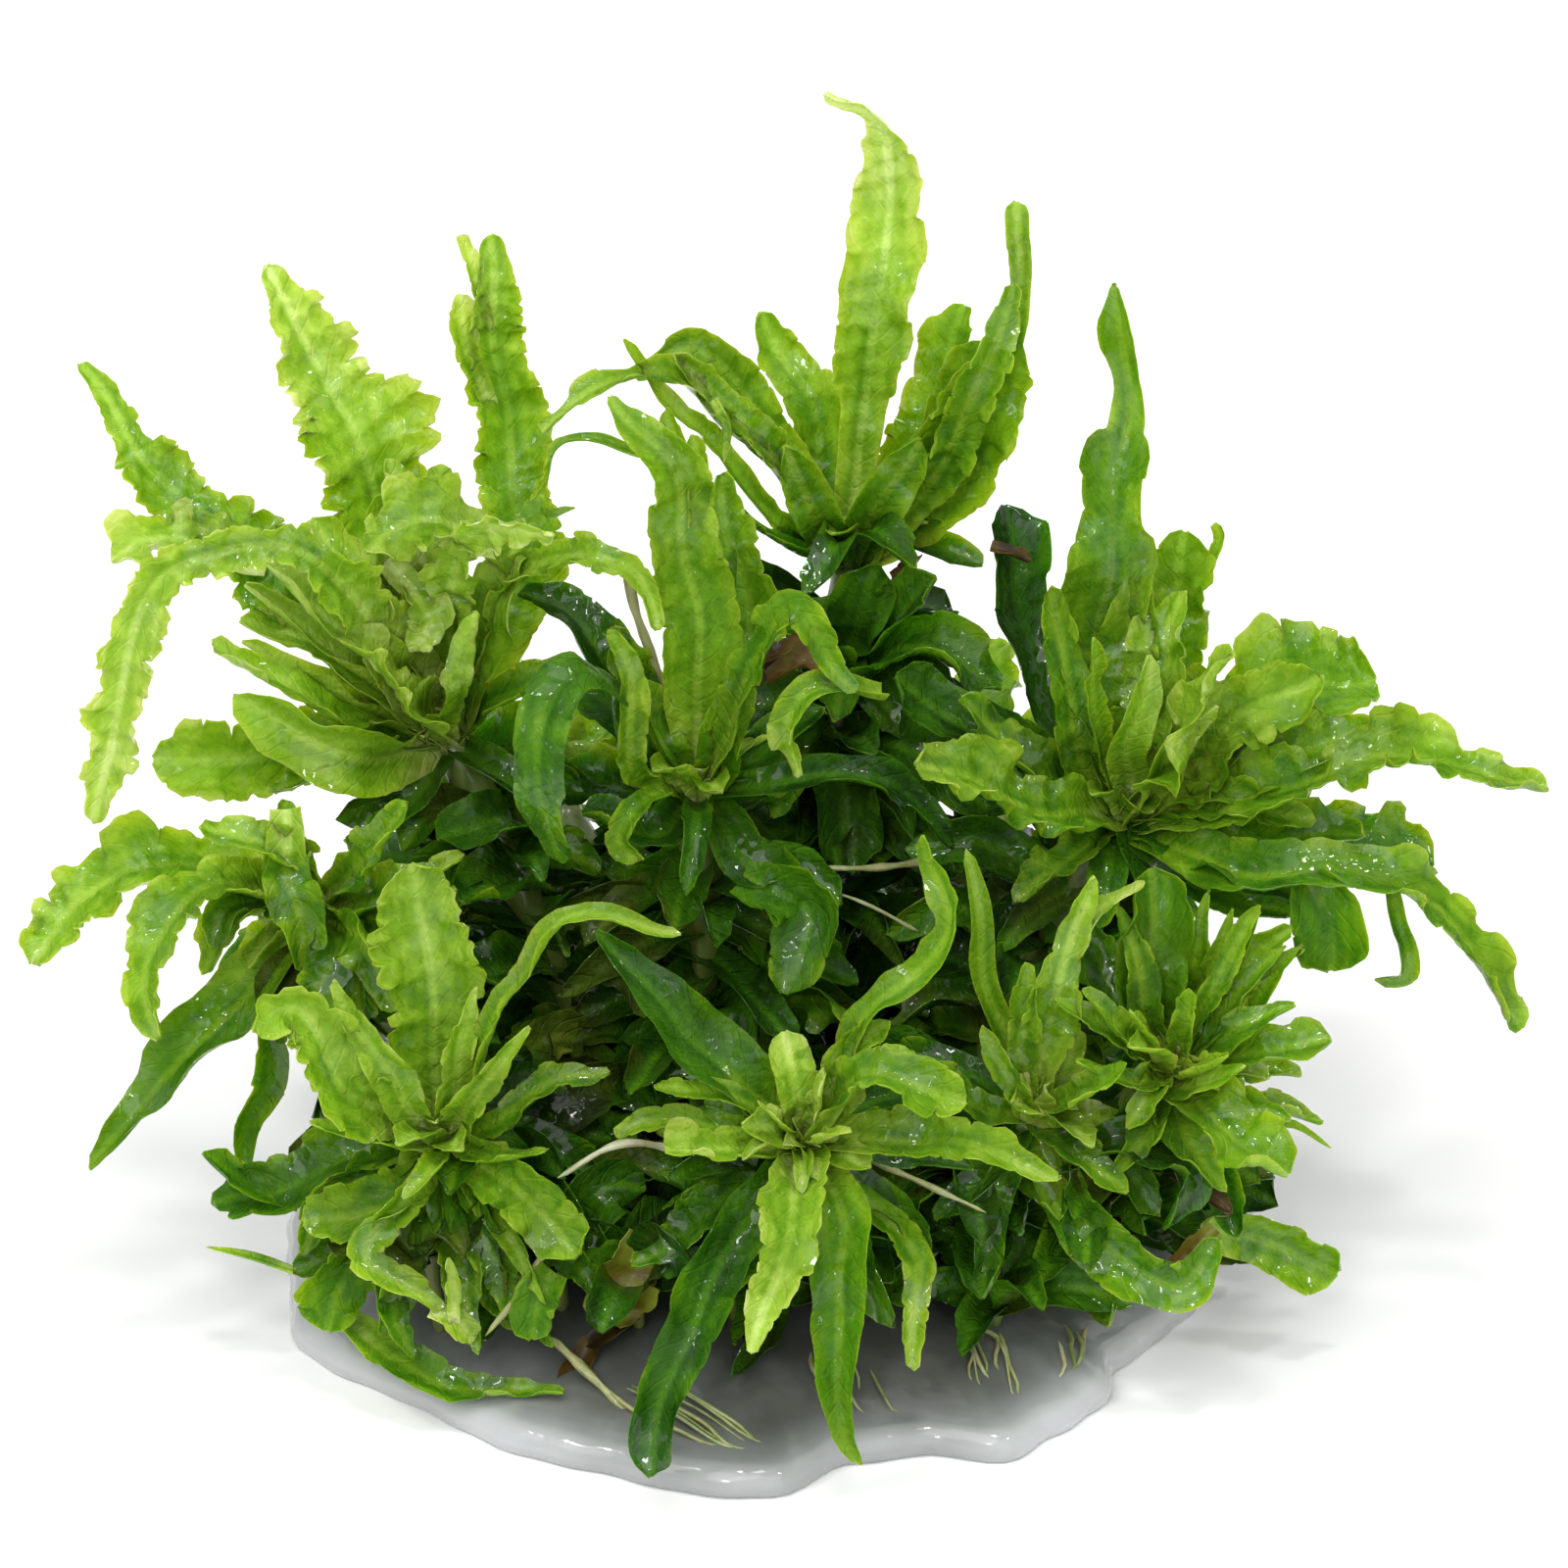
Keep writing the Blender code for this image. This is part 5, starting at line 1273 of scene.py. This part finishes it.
def leaf_material(name, wetness, vein_strength, glow, age):
    """Wet leaf tissue: pale midrib and veins, uneven green, fine cells, light passing through."""
    material, tree, shader = new_material(
        name, Subsurface_Weight=glow, Subsurface_Scale=0.0012, Coat_Roughness=0.045, Coat_IOR=1.5,
        IOR=1.35, Specular_IOR_Level=0.08)
    shader.inputs["Subsurface Radius"].default_value = (0.75, 1.0, 0.22)
    place = surface_place(tree)
    along, tint = attribute(tree, "along_mm"), attribute(tree, "tint")
    to_side = attribute(tree, "across_mm")
    across = calculate(tree, "ABSOLUTE", to_side)
    patches = noise(tree, place, 0.5, detail=1.0)
    fine = noise(tree, place, 2.4, detail=1.5, roughness=0.6)
    drawn_out = add_node(tree, "CombineXYZ", calculate(tree, "MULTIPLY", along, STREAK_STRETCH), to_side,
                         calculate(tree, "MULTIPLY", tint, 9.0)).outputs[0]
    streaks = noise(tree, drawn_out, STREAKS, detail=0.0)
    slanted = calculate(tree, "MULTIPLY_ADD", across, -VEIN_SLANT, along)
    phase = calculate(tree, "MULTIPLY_ADD", slanted, 1.0 / VEIN_SPACING, patches)
    offset = calculate(tree, "SUBTRACT", calculate(tree, "FRACT", phase), 0.5)
    distance = calculate(tree, "ABSOLUTE", offset)
    vein = between(tree, distance, 0.0, 0.13, 1.0, 0.0)
    midrib = between(tree, across, 0.08, 0.42, 1.0, 0.0)
    for pattern, strength in ((patches, PATCH_TINT), (fine, FINE_TINT), (streaks, STREAK_TINT)):
        tint = calculate(tree, "MULTIPLY_ADD", pattern, strength, tint)
    tint = calculate(tree, "ADD", tint, TINT_SHIFT)
    tint = calculate(tree, "MULTIPLY_ADD", vein, vein_strength, tint)
    tint = calculate(tree, "MULTIPLY_ADD", midrib, vein_strength * MIDRIB_TINT, tint, clamp=True)
    aged = between(tree, noise(tree, place, 0.16, detail=0.0), 0.50, 0.68, 0.0, age)
    colour = mixed(tree, aged, ramp(tree, tint, LEAF_COLOURS), ramp(tree, tint, OLD_COLOURS))
    connect(tree, shader.inputs["Base Color"], colour)
    connect(tree, shader.inputs["Roughness"], calculate(tree, "MULTIPLY_ADD", fine, 0.3, 0.26))
    puddles = noise(tree, place, 0.22, detail=0.0)
    connect(tree, shader.inputs["Coat Weight"], between(tree, puddles, 0.42, 0.60, wetness * 0.15, wetness))
    cells = calculate(tree, "MULTIPLY_ADD", vein, -0.35, fine)
    add_bump(tree, shader, "Normal", 0.9, CELL_DEPTH, cells)
    film = noise(tree, place, WATER_RIPPLES, detail=0.0)
    add_bump(tree, shader, "Coat Normal", 0.9, WATER_DEPTH, film)
    return material


def stem_material():
    """Pale green to cream stalks, streaked along their length."""
    material, tree, shader = new_material(
        "stalk", Subsurface_Weight=0.35, Subsurface_Scale=0.0012, Coat_Weight=0.35, Coat_Roughness=0.12)
    place = surface_place(tree)
    streaks = noise(tree, stretched(tree, place, 1.0, 1.0, 0.18), 1.6)
    tint = calculate(tree, "MULTIPLY_ADD", streaks, 0.5, attribute(tree, "tint"))
    colour = ramp(tree, calculate(tree, "SUBTRACT", tint, 0.25), [
        (0.0, (0.050, 0.085, 0.010)), (0.35, (0.110, 0.165, 0.024)), (0.7, (0.330, 0.350, 0.140)),
        (1.0, (0.560, 0.550, 0.380)),
    ])
    connect(tree, shader.inputs["Base Color"], colour)
    connect(tree, shader.inputs["Roughness"], between(tree, streaks, 0.2, 0.8, 0.25, 0.5))
    add_bump(tree, shader, "Normal", 0.5, 0.0001, streaks)
    return material


def old_leaf_material():
    """Yellowed and brown dead tissue."""
    material, tree, shader = new_material(
        "old_tissue", Coat_Weight=0.12, Coat_Roughness=0.12, Specular_IOR_Level=0.2)
    place = surface_place(tree)
    blotches = noise(tree, place, 0.7, detail=4.0, roughness=0.65)
    tint = calculate(tree, "MULTIPLY_ADD", blotches, 0.9, attribute(tree, "tint"))
    colour = ramp(tree, calculate(tree, "SUBTRACT", tint, 0.45), [
        (0.0, (0.018, 0.010, 0.002)), (0.3, (0.090, 0.052, 0.007)), (0.6, (0.150, 0.160, 0.010)),
        (1.0, (0.230, 0.300, 0.040)),
    ])
    connect(tree, shader.inputs["Base Color"], colour)
    connect(tree, shader.inputs["Roughness"], between(tree, blotches, 0.2, 0.8, 0.3, 0.6))
    add_bump(tree, shader, "Normal", 0.6, 0.00015, blotches)
    return material


# The middle of the gel is darkened as painted shade of the plants: how far across from the middle
# the painted shade starts to lift, and where the gel is palest, in millimetres
GEL_PAINTED_SHADE_MIDDLE = 8.0
GEL_PALE_END = 28.0


def gel_material():
    """Cloudy grey nutrient gel, wet and glossy, with painted shade of the plants over its middle and a
    painted lighter rim at its thin edge.
    """
    material, tree, shader = new_material(
        "culture_gel", IOR=1.34, Transmission_Weight=0.45, Subsurface_Weight=0.6,
        Subsurface_Scale=0.0025, Coat_Weight=0.8, Coat_Roughness=0.03, Coat_IOR=1.4)
    shader.inputs["Subsurface Radius"].default_value = (0.9, 1.0, 0.9)
    place = surface_place(tree)
    cloud = noise(tree, place, 0.16, detail=3.0)
    share = attribute(tree, "edge")
    across = calculate(tree, "ABSOLUTE", add_node(tree, "SeparateXYZ", place).outputs[0])
    # Painted shade of the plants over the middle of the gel, lifting towards its left and right ends
    ends = between(tree, across, GEL_PAINTED_SHADE_MIDDLE, GEL_PALE_END, 0.0, 0.55)
    # A painted lighter rim round the thin edge
    rim = between(tree, share, 0.86, 1.0, 0.0, 0.7)
    pale = calculate(tree, "MULTIPLY_ADD", cloud, 0.35, calculate(tree, "ADD", ends, rim))
    colour = ramp(tree, calculate(tree, "SUBTRACT", pale, 0.12), [
        (0.0, (0.180, 0.192, 0.168)), (0.45, (0.350, 0.368, 0.352)), (1.0, (0.760, 0.785, 0.790)),
    ])
    connect(tree, shader.inputs["Base Color"], colour)
    connect(tree, shader.inputs["Roughness"], between(tree, noise(tree, place, 0.9), 0.2, 0.8, 0.05, 0.16))
    add_bump(tree, shader, "Normal", 0.35, 0.0003, noise(tree, place, 0.55))
    return material


# Making the pieces

def finish_piece(item, slot, *nodes):
    """Tells the frame what a piece rides on, and hides the solids it stands for. Its slot, the finish, is
    not used.
    """
    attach(item, "root")
    if nodes:
        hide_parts(*nodes)


def make_leaves(plantlet, materials):
    """The large leaves of a rosette, each as a piece that stands for its own solid."""
    for number, leaf in enumerate(plantlet.large, start=1):
        node = f"{plantlet.name}_leaf_{number}"
        sheaf = Sheaf()
        add_blade(sheaf, leaf, plantlet.crown, random.Random(node))
        finish_piece(sheaf.make_object(node + "_blade", materials[leaf.tone]), leaf.tone, node)


def make_rosette(plantlet, materials):
    """The stem of a rosette, its small leaves, and the leaves lower on its stem."""
    node = plantlet.name + "_stem"
    dice = random.Random(node)
    line, lean = stem_line(plantlet)
    foot = line[0] - np.array((0.0, 0.0, STEM_DEPTH))
    ends = [plantlet.crown + lean * CROWN_RADIUS * share for share in CROWN_ENDS]
    radii = (STEM_RADIUS, STEM_RADIUS, STEM_RADIUS, CROWN_RADIUS, CROWN_RADIUS * CROWN_TOP)
    stalk = Sheaf()
    add_tube(stalk, [foot, *line, *ends], radii, STEM_TINT, sides=STEM_SIDES, lumps=STEM_LUMPS,
             dice=dice)
    finish_piece(stalk.make_object(node + "_stalk", materials["stem"]), "stem", node)

    # The small leaves are made on a slightly coarser grid
    foliage = Sheaf()
    for leaf in [*plantlet.small, *plantlet.extra]:
        leaf.coarse *= SMALL_COARSE
    for leaf in [*plantlet.small, *plantlet.extra, *heart_leaves(plantlet, dice)]:
        add_blade(foliage, leaf, leaf_origin(plantlet, leaf), dice, start=SMALL_START)
    finish_piece(foliage.make_object(plantlet.name + "_small_leaves", materials["small_leaf"]),
                 "bright_leaf", node)

    lower = Sheaf()
    for leaf in filling_leaves(plantlet, dice):
        add_blade(lower, leaf, leaf.root, dice)
    finish_piece(lower.make_object(plantlet.name + "_lower_leaves", materials["inner_leaf"]),
                 "deep_leaf", node)


def make_low_shoots(materials):
    """The shoots between the stems, as one piece of leaves and one of stalks."""
    dice = random.Random("low shoots")
    foliage, stalks = Sheaf(), Sheaf()
    for foot, crown in low_shoots(dice):
        add_tube(stalks, [foot, (foot + crown) / 2.0, crown], SHOOT_RADII, 0.4, lumps=0.1, dice=dice)
        for number in range(SHOOT_LEAVES):
            turn = number * GOLDEN_ANGLE + dice.uniform(0.0, 0.6)
            way = np.array((math.cos(turn), math.sin(turn), 0.0))
            # The inner leaves stand up, and the outer ones are longer and lie down
            lift = 1.2 - 1.3 * number / SHOOT_LEAVES
            length = dice.uniform(*SHOOT_LENGTH) * (0.7 + 0.4 * number / SHOOT_LEAVES)
            add_blade(foliage, plain_leaf(crown, way, lift, length, dice), crown, dice)
    finish_piece(foliage.make_object("low_shoot_leaves", materials["inner_leaf"]), "deep_leaf")
    finish_piece(stalks.make_object("low_shoot_stalks", materials["stem"]), "stem")


def make_gel(material):
    """The gel pad: a low dome with a rounded, lobed edge and a flat underside."""
    turn = np.linspace(0.0, 2.0 * np.pi, GEL_SPOKES + 1)[:-1]
    # The edge has small ripples
    reach = gel_reach(turn) * (1.0 + 0.004 * np.sin(turn * 17.0) + 0.003 * np.sin(turn * 41.0 + 1.0))
    top = np.linspace(GEL_HUB, GEL_ROUNDED, GEL_TOP_RINGS)
    profile = [(share, float(gel_height(share))) for share in top]
    rim_height = profile[-1][1]
    for step in range(1, GEL_RIM_RINGS + 1):
        angle = math.pi / 2.0 * step / GEL_RIM_RINGS
        profile.append((GEL_ROUNDED + (1.0 - GEL_ROUNDED) * math.sin(angle),
                        rim_height * (GEL_FOOT_SHARE + (1.0 - GEL_FOOT_SHARE) * math.cos(angle))))
    for step in range(1, GEL_RIM_RINGS + 1):
        angle = math.pi / 2.0 * step / GEL_RIM_RINGS
        inset = (1.0 - GEL_FOOT_INSET) * (1.0 - math.cos(angle))
        profile.append((1.0 - inset, rim_height * GEL_FOOT_SHARE * (1.0 - math.sin(angle))))
    profile += [(GEL_FOOT_INSET * share, 0.0) for share in (0.9, 0.6, 0.3, GEL_HUB)]
    shares, heights = np.array(profile).T
    x = shares[:, None] * reach * np.cos(turn)
    y = shares[:, None] * reach * np.sin(turn)
    # Broad, middling and small swells of the top, which are nothing at the rim
    swell = (0.16 * np.sin(x * 0.55 + 1.0) * np.cos(y * 0.47) + 0.09 * np.sin(x * 1.1 - y * 0.9)
             + 0.05 * np.cos(x * 1.9 + y * 1.3 + 2.0))
    lifted = np.arange(len(shares)) < GEL_TOP_RINGS
    swell = swell * lifted[:, None] * np.clip((1.0 - shares[:, None] ** 6) * 1.4, 0.0, 1.0)
    points = np.stack([x, y, heights[:, None] + swell], axis=2).reshape(-1, 3)
    last_ring = len(points) - GEL_SPOKES
    faces = np.vstack([wall_faces(len(shares), GEL_SPOKES), cap_faces(GEL_SPOKES, 0),
                       cap_faces(GEL_SPOKES, last_ring, flipped=True)])
    sheaf = Sheaf()
    sheaf.add(points, faces, edge=np.repeat(shares, GEL_SPOKES), tint=0.5)
    finish_piece(sheaf.make_object("culture_gel_pad", material), "gel", "culture_gel")


# Roots that show, as their points (across, seen, away) and their radius
SHOWN_ROOTS = [
    ([(9.5, 23.8, 3.0), (6.0, 23.4, 0.0), (2.6, 23.4, -2.0)], 0.24),
    ([(8.6, 19.6, 0.0), (4.6, 21.6, -1.0), (0.4, 22.4, 0.0)], 0.12),
    ([(-13.2, 1.4, -20.4), (-14.6, -1.0, -21.4), (-16.8, -3.8, -22.0)], 0.26),
    ([(-13.0, -4.0, -20.0), (-10.0, -6.8, -23.0), (-7.4, -9.2, -25.8)], 0.30),
    ([(-5.4, 7.0, -16.0), (-9.0, 7.4, -17.5), (-12.6, 5.4, -18.0)], 0.26),
    ([(-8.7, 41.0, 5.0), (-8.0, 38.0, 5.0), (-6.0, 33.0, 4.0)], 0.34),
    ([(5.0, 6.8, -18.0), (9.0, 5.0, -19.0), (12.4, 3.4, -19.5)], 0.22),
]

# The roots at the foot of each stem, and how near the rim of the gel a root may come
ROOTS_PER_STEM = 6
ROOT_LENGTH = (4.0, 9.0)
ROOT_RADIUS = (0.10, 0.18)
ROOT_SIDES = 6
ROOT_STEP = 0.7
ROOT_REACH = 0.92

# How high a root from a stem is over the gel, at shares of the way along it
ROOT_DIPS = ((0.0, 1.6), (0.35, 0.7), (0.7, -0.4), (1.0, -1.6))
LOWEST_ROOT = 0.4

# Bundles of fine roots over the gel: where they start and end (across, seen, away), how far they
# stray, and how many
ROOT_BUNDLES = [
    ((-8.0, -6.6, -23.0), (-1.2, -12.0, -29.4), 0.8, 9),
    ((4.0, -2.0, -20.0), (6.6, -8.0, -26.0), 1.6, 5),
    ((12.0, 1.0, -17.0), (13.4, -6.4, -22.6), 1.7, 7),
    ((17.0, 0.0, -16.0), (18.0, -5.6, -20.8), 1.4, 5),
]
BUNDLE_RADIUS = (0.08, 0.16)
BUNDLE_TINT = (0.42, 0.80)


def inside_rim(x, y):
    """The place on the gel, moved inwards where it is too near the rim."""
    reach = math.hypot(x, y) / float(gel_reach(np.array(math.atan2(y, x))))
    share = min(1.0, ROOT_REACH / reach)
    return x * share, y * share


def add_root(sheaf, start, end, stray, dice):
    """A fine, slightly wavy root that lies on the gel and dips into it at its end."""
    points = []
    for share in np.linspace(0.0, 1.0, 5):
        bend = np.array((dice.gauss(0.0, 0.16), dice.gauss(0.0, 0.16))) * stray
        x, y = inside_rim(*((start + (end - start) * share)[:2] + bend))
        points.append((x, y, gel_top(x, y) + 0.35 - 0.6 * share ** 2))
    radius = dice.uniform(*BUNDLE_RADIUS)
    add_tube(sheaf, points, (radius, radius, radius * 0.6), dice.uniform(*BUNDLE_TINT),
             sides=ROOT_SIDES, step=ROOT_STEP)


def make_roots(material):
    """The roots that show, and more from the foot of each stem down into the gel."""
    sheaf = Sheaf()
    dice = random.Random("roots")
    for points, radius in SHOWN_ROOTS:
        add_tube(sheaf, [seen_point(*point) for point in points], (radius, radius * 0.9, radius * 0.5),
                 dice.uniform(0.6, 0.9), sides=ROOT_SIDES, step=0.6, lumps=0.2, dice=dice)
    for first, last, stray, count in ROOT_BUNDLES:
        for _ in range(count):
            shift = np.array((dice.gauss(0.0, stray), dice.gauss(0.0, stray) * 0.5, 0.0))
            add_root(sheaf, seen_point(*first) + shift, seen_point(*last) + shift, stray, dice)
    for plantlet in PLANTLETS:
        foot = plantlet.foot
        for number in range(ROOTS_PER_STEM):
            turn = number * GOLDEN_ANGLE + dice.uniform(0.0, 1.0)
            length = dice.uniform(*ROOT_LENGTH)
            points = []
            for share, above in ROOT_DIPS:
                spread = length * share
                x = foot[0] + spread * math.cos(turn + share * dice.uniform(-0.6, 0.6))
                y = foot[1] + spread * math.sin(turn)
                x, y = inside_rim(x, y)
                points.append((x, y, max(LOWEST_ROOT, gel_top(x, y) + above)))
            radius = dice.uniform(*ROOT_RADIUS)
            add_tube(sheaf, points, (radius, radius, radius * 0.5), dice.uniform(0.5, 0.9),
                     sides=ROOT_SIDES, step=ROOT_STEP, lumps=0.12, dice=dice)
    finish_piece(sheaf.make_object("roots", material), "stem")


# Yellowed leaves and dead scraps. Here a low tint is brown, and a high one yellow-green.
OLD_LEAVES = [
    bright(4.2, (-8.6, -0.8, -19.6), (-9, -3.6, -20.8), root=(-7.4, 2, -18.4), outline=BLUNT,
           face=FORWARD, tint=(0.55, 0.55)),
    bright(2, (-11.6, -6, -20.6), (-12.8, -7.4, -21.4), root=(-10.6, -4.2, -19.6), tint=(0.1, 0.05)),
    bright(1.8, (-9.6, -3.4, -19.4), (-11, -4.4, -19.6), root=(-8, -2.6, -19), tint=(0.1, 0.05)),
    bright(1.3, (-0.6, 35, 4), (0.8, 35.6, 4.5), root=(-1.6, 33.9, 3.4), tint=(0.15, 0.1)),
    bright(1, (8, 41.4, 13), (8.8, 42.2, 13), root=(7, 40.8, 13.5), tint=(0.15, 0.1)),
    bright(1.7, (1.6, 35.4, 3), (3.2, 34.6, 3), root=(-0.4, 34.6, 3), tint=(0.2, 0.3)),
    bright(1.5, (0.4, 36.4, 3.6), (2, 37.2, 3.4), root=(-1.2, 35.6, 3.6), tint=(0.1, 0.2)),
    bright(1.1, (14.2, 42.2, 11), (15.4, 41.6, 11), root=(13, 42.6, 11), tint=(0.1, 0.1)),
    bright(1.4, (25, 4.6, -15), (27, 3.4, -15.6), root=(23.4, 5.6, -14.4), tint=(0.1, 0.15)),
    bright(1.6, (24.4, 1, -18.8), (23, -0.2, -19.6), root=(25.8, 2.4, -18.2), tint=(0.35, 0.3)),
]


def make_old_leaves(material):
    """The yellowed leaves and dead scraps, as one piece."""
    sheaf = Sheaf()
    dice = random.Random("old leaves")
    for leaf in OLD_LEAVES:
        add_blade(sheaf, leaf, leaf.root, dice)
    finish_piece(sheaf.make_object("old_leaves", material), "stem")


# The plain studio

CAMERA_TARGET = np.array((0.0006, 0.0, 0.0313))
CAMERA_DISTANCE = 0.6
FRAME_WIDTH = 0.0928
SENSOR_WIDTH = 36.0
FLOOR_SIZE = 6.0
FLOOR_CELLS = 24
FLOOR_DEPTH = 0.00002
SKY_STRENGTH = 0.61

# The lights, by name: strength, how wide, how far from overhead, and how far round from the front.
# The narrow ones make the glints of the wet leaves.
LIGHTS = {
    "soft_light": (1.15, 50.0, 38.0, -30.0),
    "soft_front": (0.9, 60.0, 62.0, 12.0),
    "glint_above": (0.42, 7.0, 8.0, 20.0),
    "glint_left": (0.40, 7.0, 28.0, -75.0),
    "glint_right": (0.40, 7.0, 34.0, 60.0),
    "glint_front": (0.32, 7.0, 58.0, -12.0),
}


def add_camera():
    """The camera, which looks at the clump from the photograph's side."""
    data = bpy.data.cameras.new("camera")
    data.sensor_width = SENSOR_WIDTH
    data.lens = SENSOR_WIDTH * CAMERA_DISTANCE / FRAME_WIDTH
    data.clip_start = 0.01
    camera = bpy.data.objects.new("camera", data)
    back = np.array((0.0, -math.cos(VIEW_ELEVATION), math.sin(VIEW_ELEVATION)))
    camera.location = CAMERA_TARGET + back * CAMERA_DISTANCE
    camera.rotation_euler = (math.pi / 2.0 - VIEW_ELEVATION, 0.0, 0.0)
    bpy.context.scene.collection.objects.link(camera)
    bpy.context.scene.camera = camera


def add_light(name, strength, spread, tilt, turn):
    """A sun that is as wide, as far from overhead and as far round as given, in degrees."""
    data = bpy.data.lights.new(name, "SUN")
    data.energy = strength
    data.angle = math.radians(spread)
    light = bpy.data.objects.new(name, data)
    light.rotation_euler = (math.radians(tilt), 0.0, math.radians(turn))
    bpy.context.scene.collection.objects.link(light)


def add_floor():
    """The plain pale floor, just under the gel."""
    material, tree, shader = new_material("pale_floor", Roughness=0.9)
    shader.inputs["Specular IOR Level"].default_value = 0.1
    mottle = noise(tree, surface_place(tree), 0.01)
    connect(tree, shader.inputs["Base Color"], ramp(tree, mottle, [
        (0.0, (0.93, 0.93, 0.93)), (1.0, (0.95, 0.95, 0.95)),
    ]))
    mesh = bpy.data.meshes.new("floor")
    places = np.linspace(-FLOOR_SIZE / 2.0, FLOOR_SIZE / 2.0, FLOOR_CELLS + 1)
    points = [(x, y, -FLOOR_DEPTH) for x in places for y in places]
    mesh.from_pydata(points, [], grid_faces(FLOOR_CELLS + 1, FLOOR_CELLS + 1, flipped=True).tolist())
    mesh.materials.append(material)
    floor = bpy.data.objects.new("floor", mesh)
    bpy.context.scene.collection.objects.link(floor)


def add_studio():
    """White sky light, the lights, the floor and the camera."""
    world = bpy.data.worlds.new("studio")
    world.use_nodes = True
    background = world.node_tree.nodes["Background"]
    background.inputs["Color"].default_value = (1.0, 1.0, 1.0, 1.0)
    background.inputs["Strength"].default_value = SKY_STRENGTH
    bpy.context.scene.world = world
    bpy.context.scene.view_settings.view_transform = "Standard"
    for name, values in LIGHTS.items():
        add_light(name, *values)
    add_floor()
    add_camera()


def main():
    """Makes all the pieces and the studio."""
    materials = {name: leaf_material(name + "_tissue", *looks) for name, looks in LEAF_MATERIALS.items()}
    materials["stem"] = stem_material()
    for plantlet in PLANTLETS:
        make_leaves(plantlet, materials)
        make_rosette(plantlet, materials)
    make_low_shoots(materials)
    make_gel(gel_material())
    make_roots(materials["stem"])
    make_old_leaves(old_leaf_material())
    add_studio()


main()
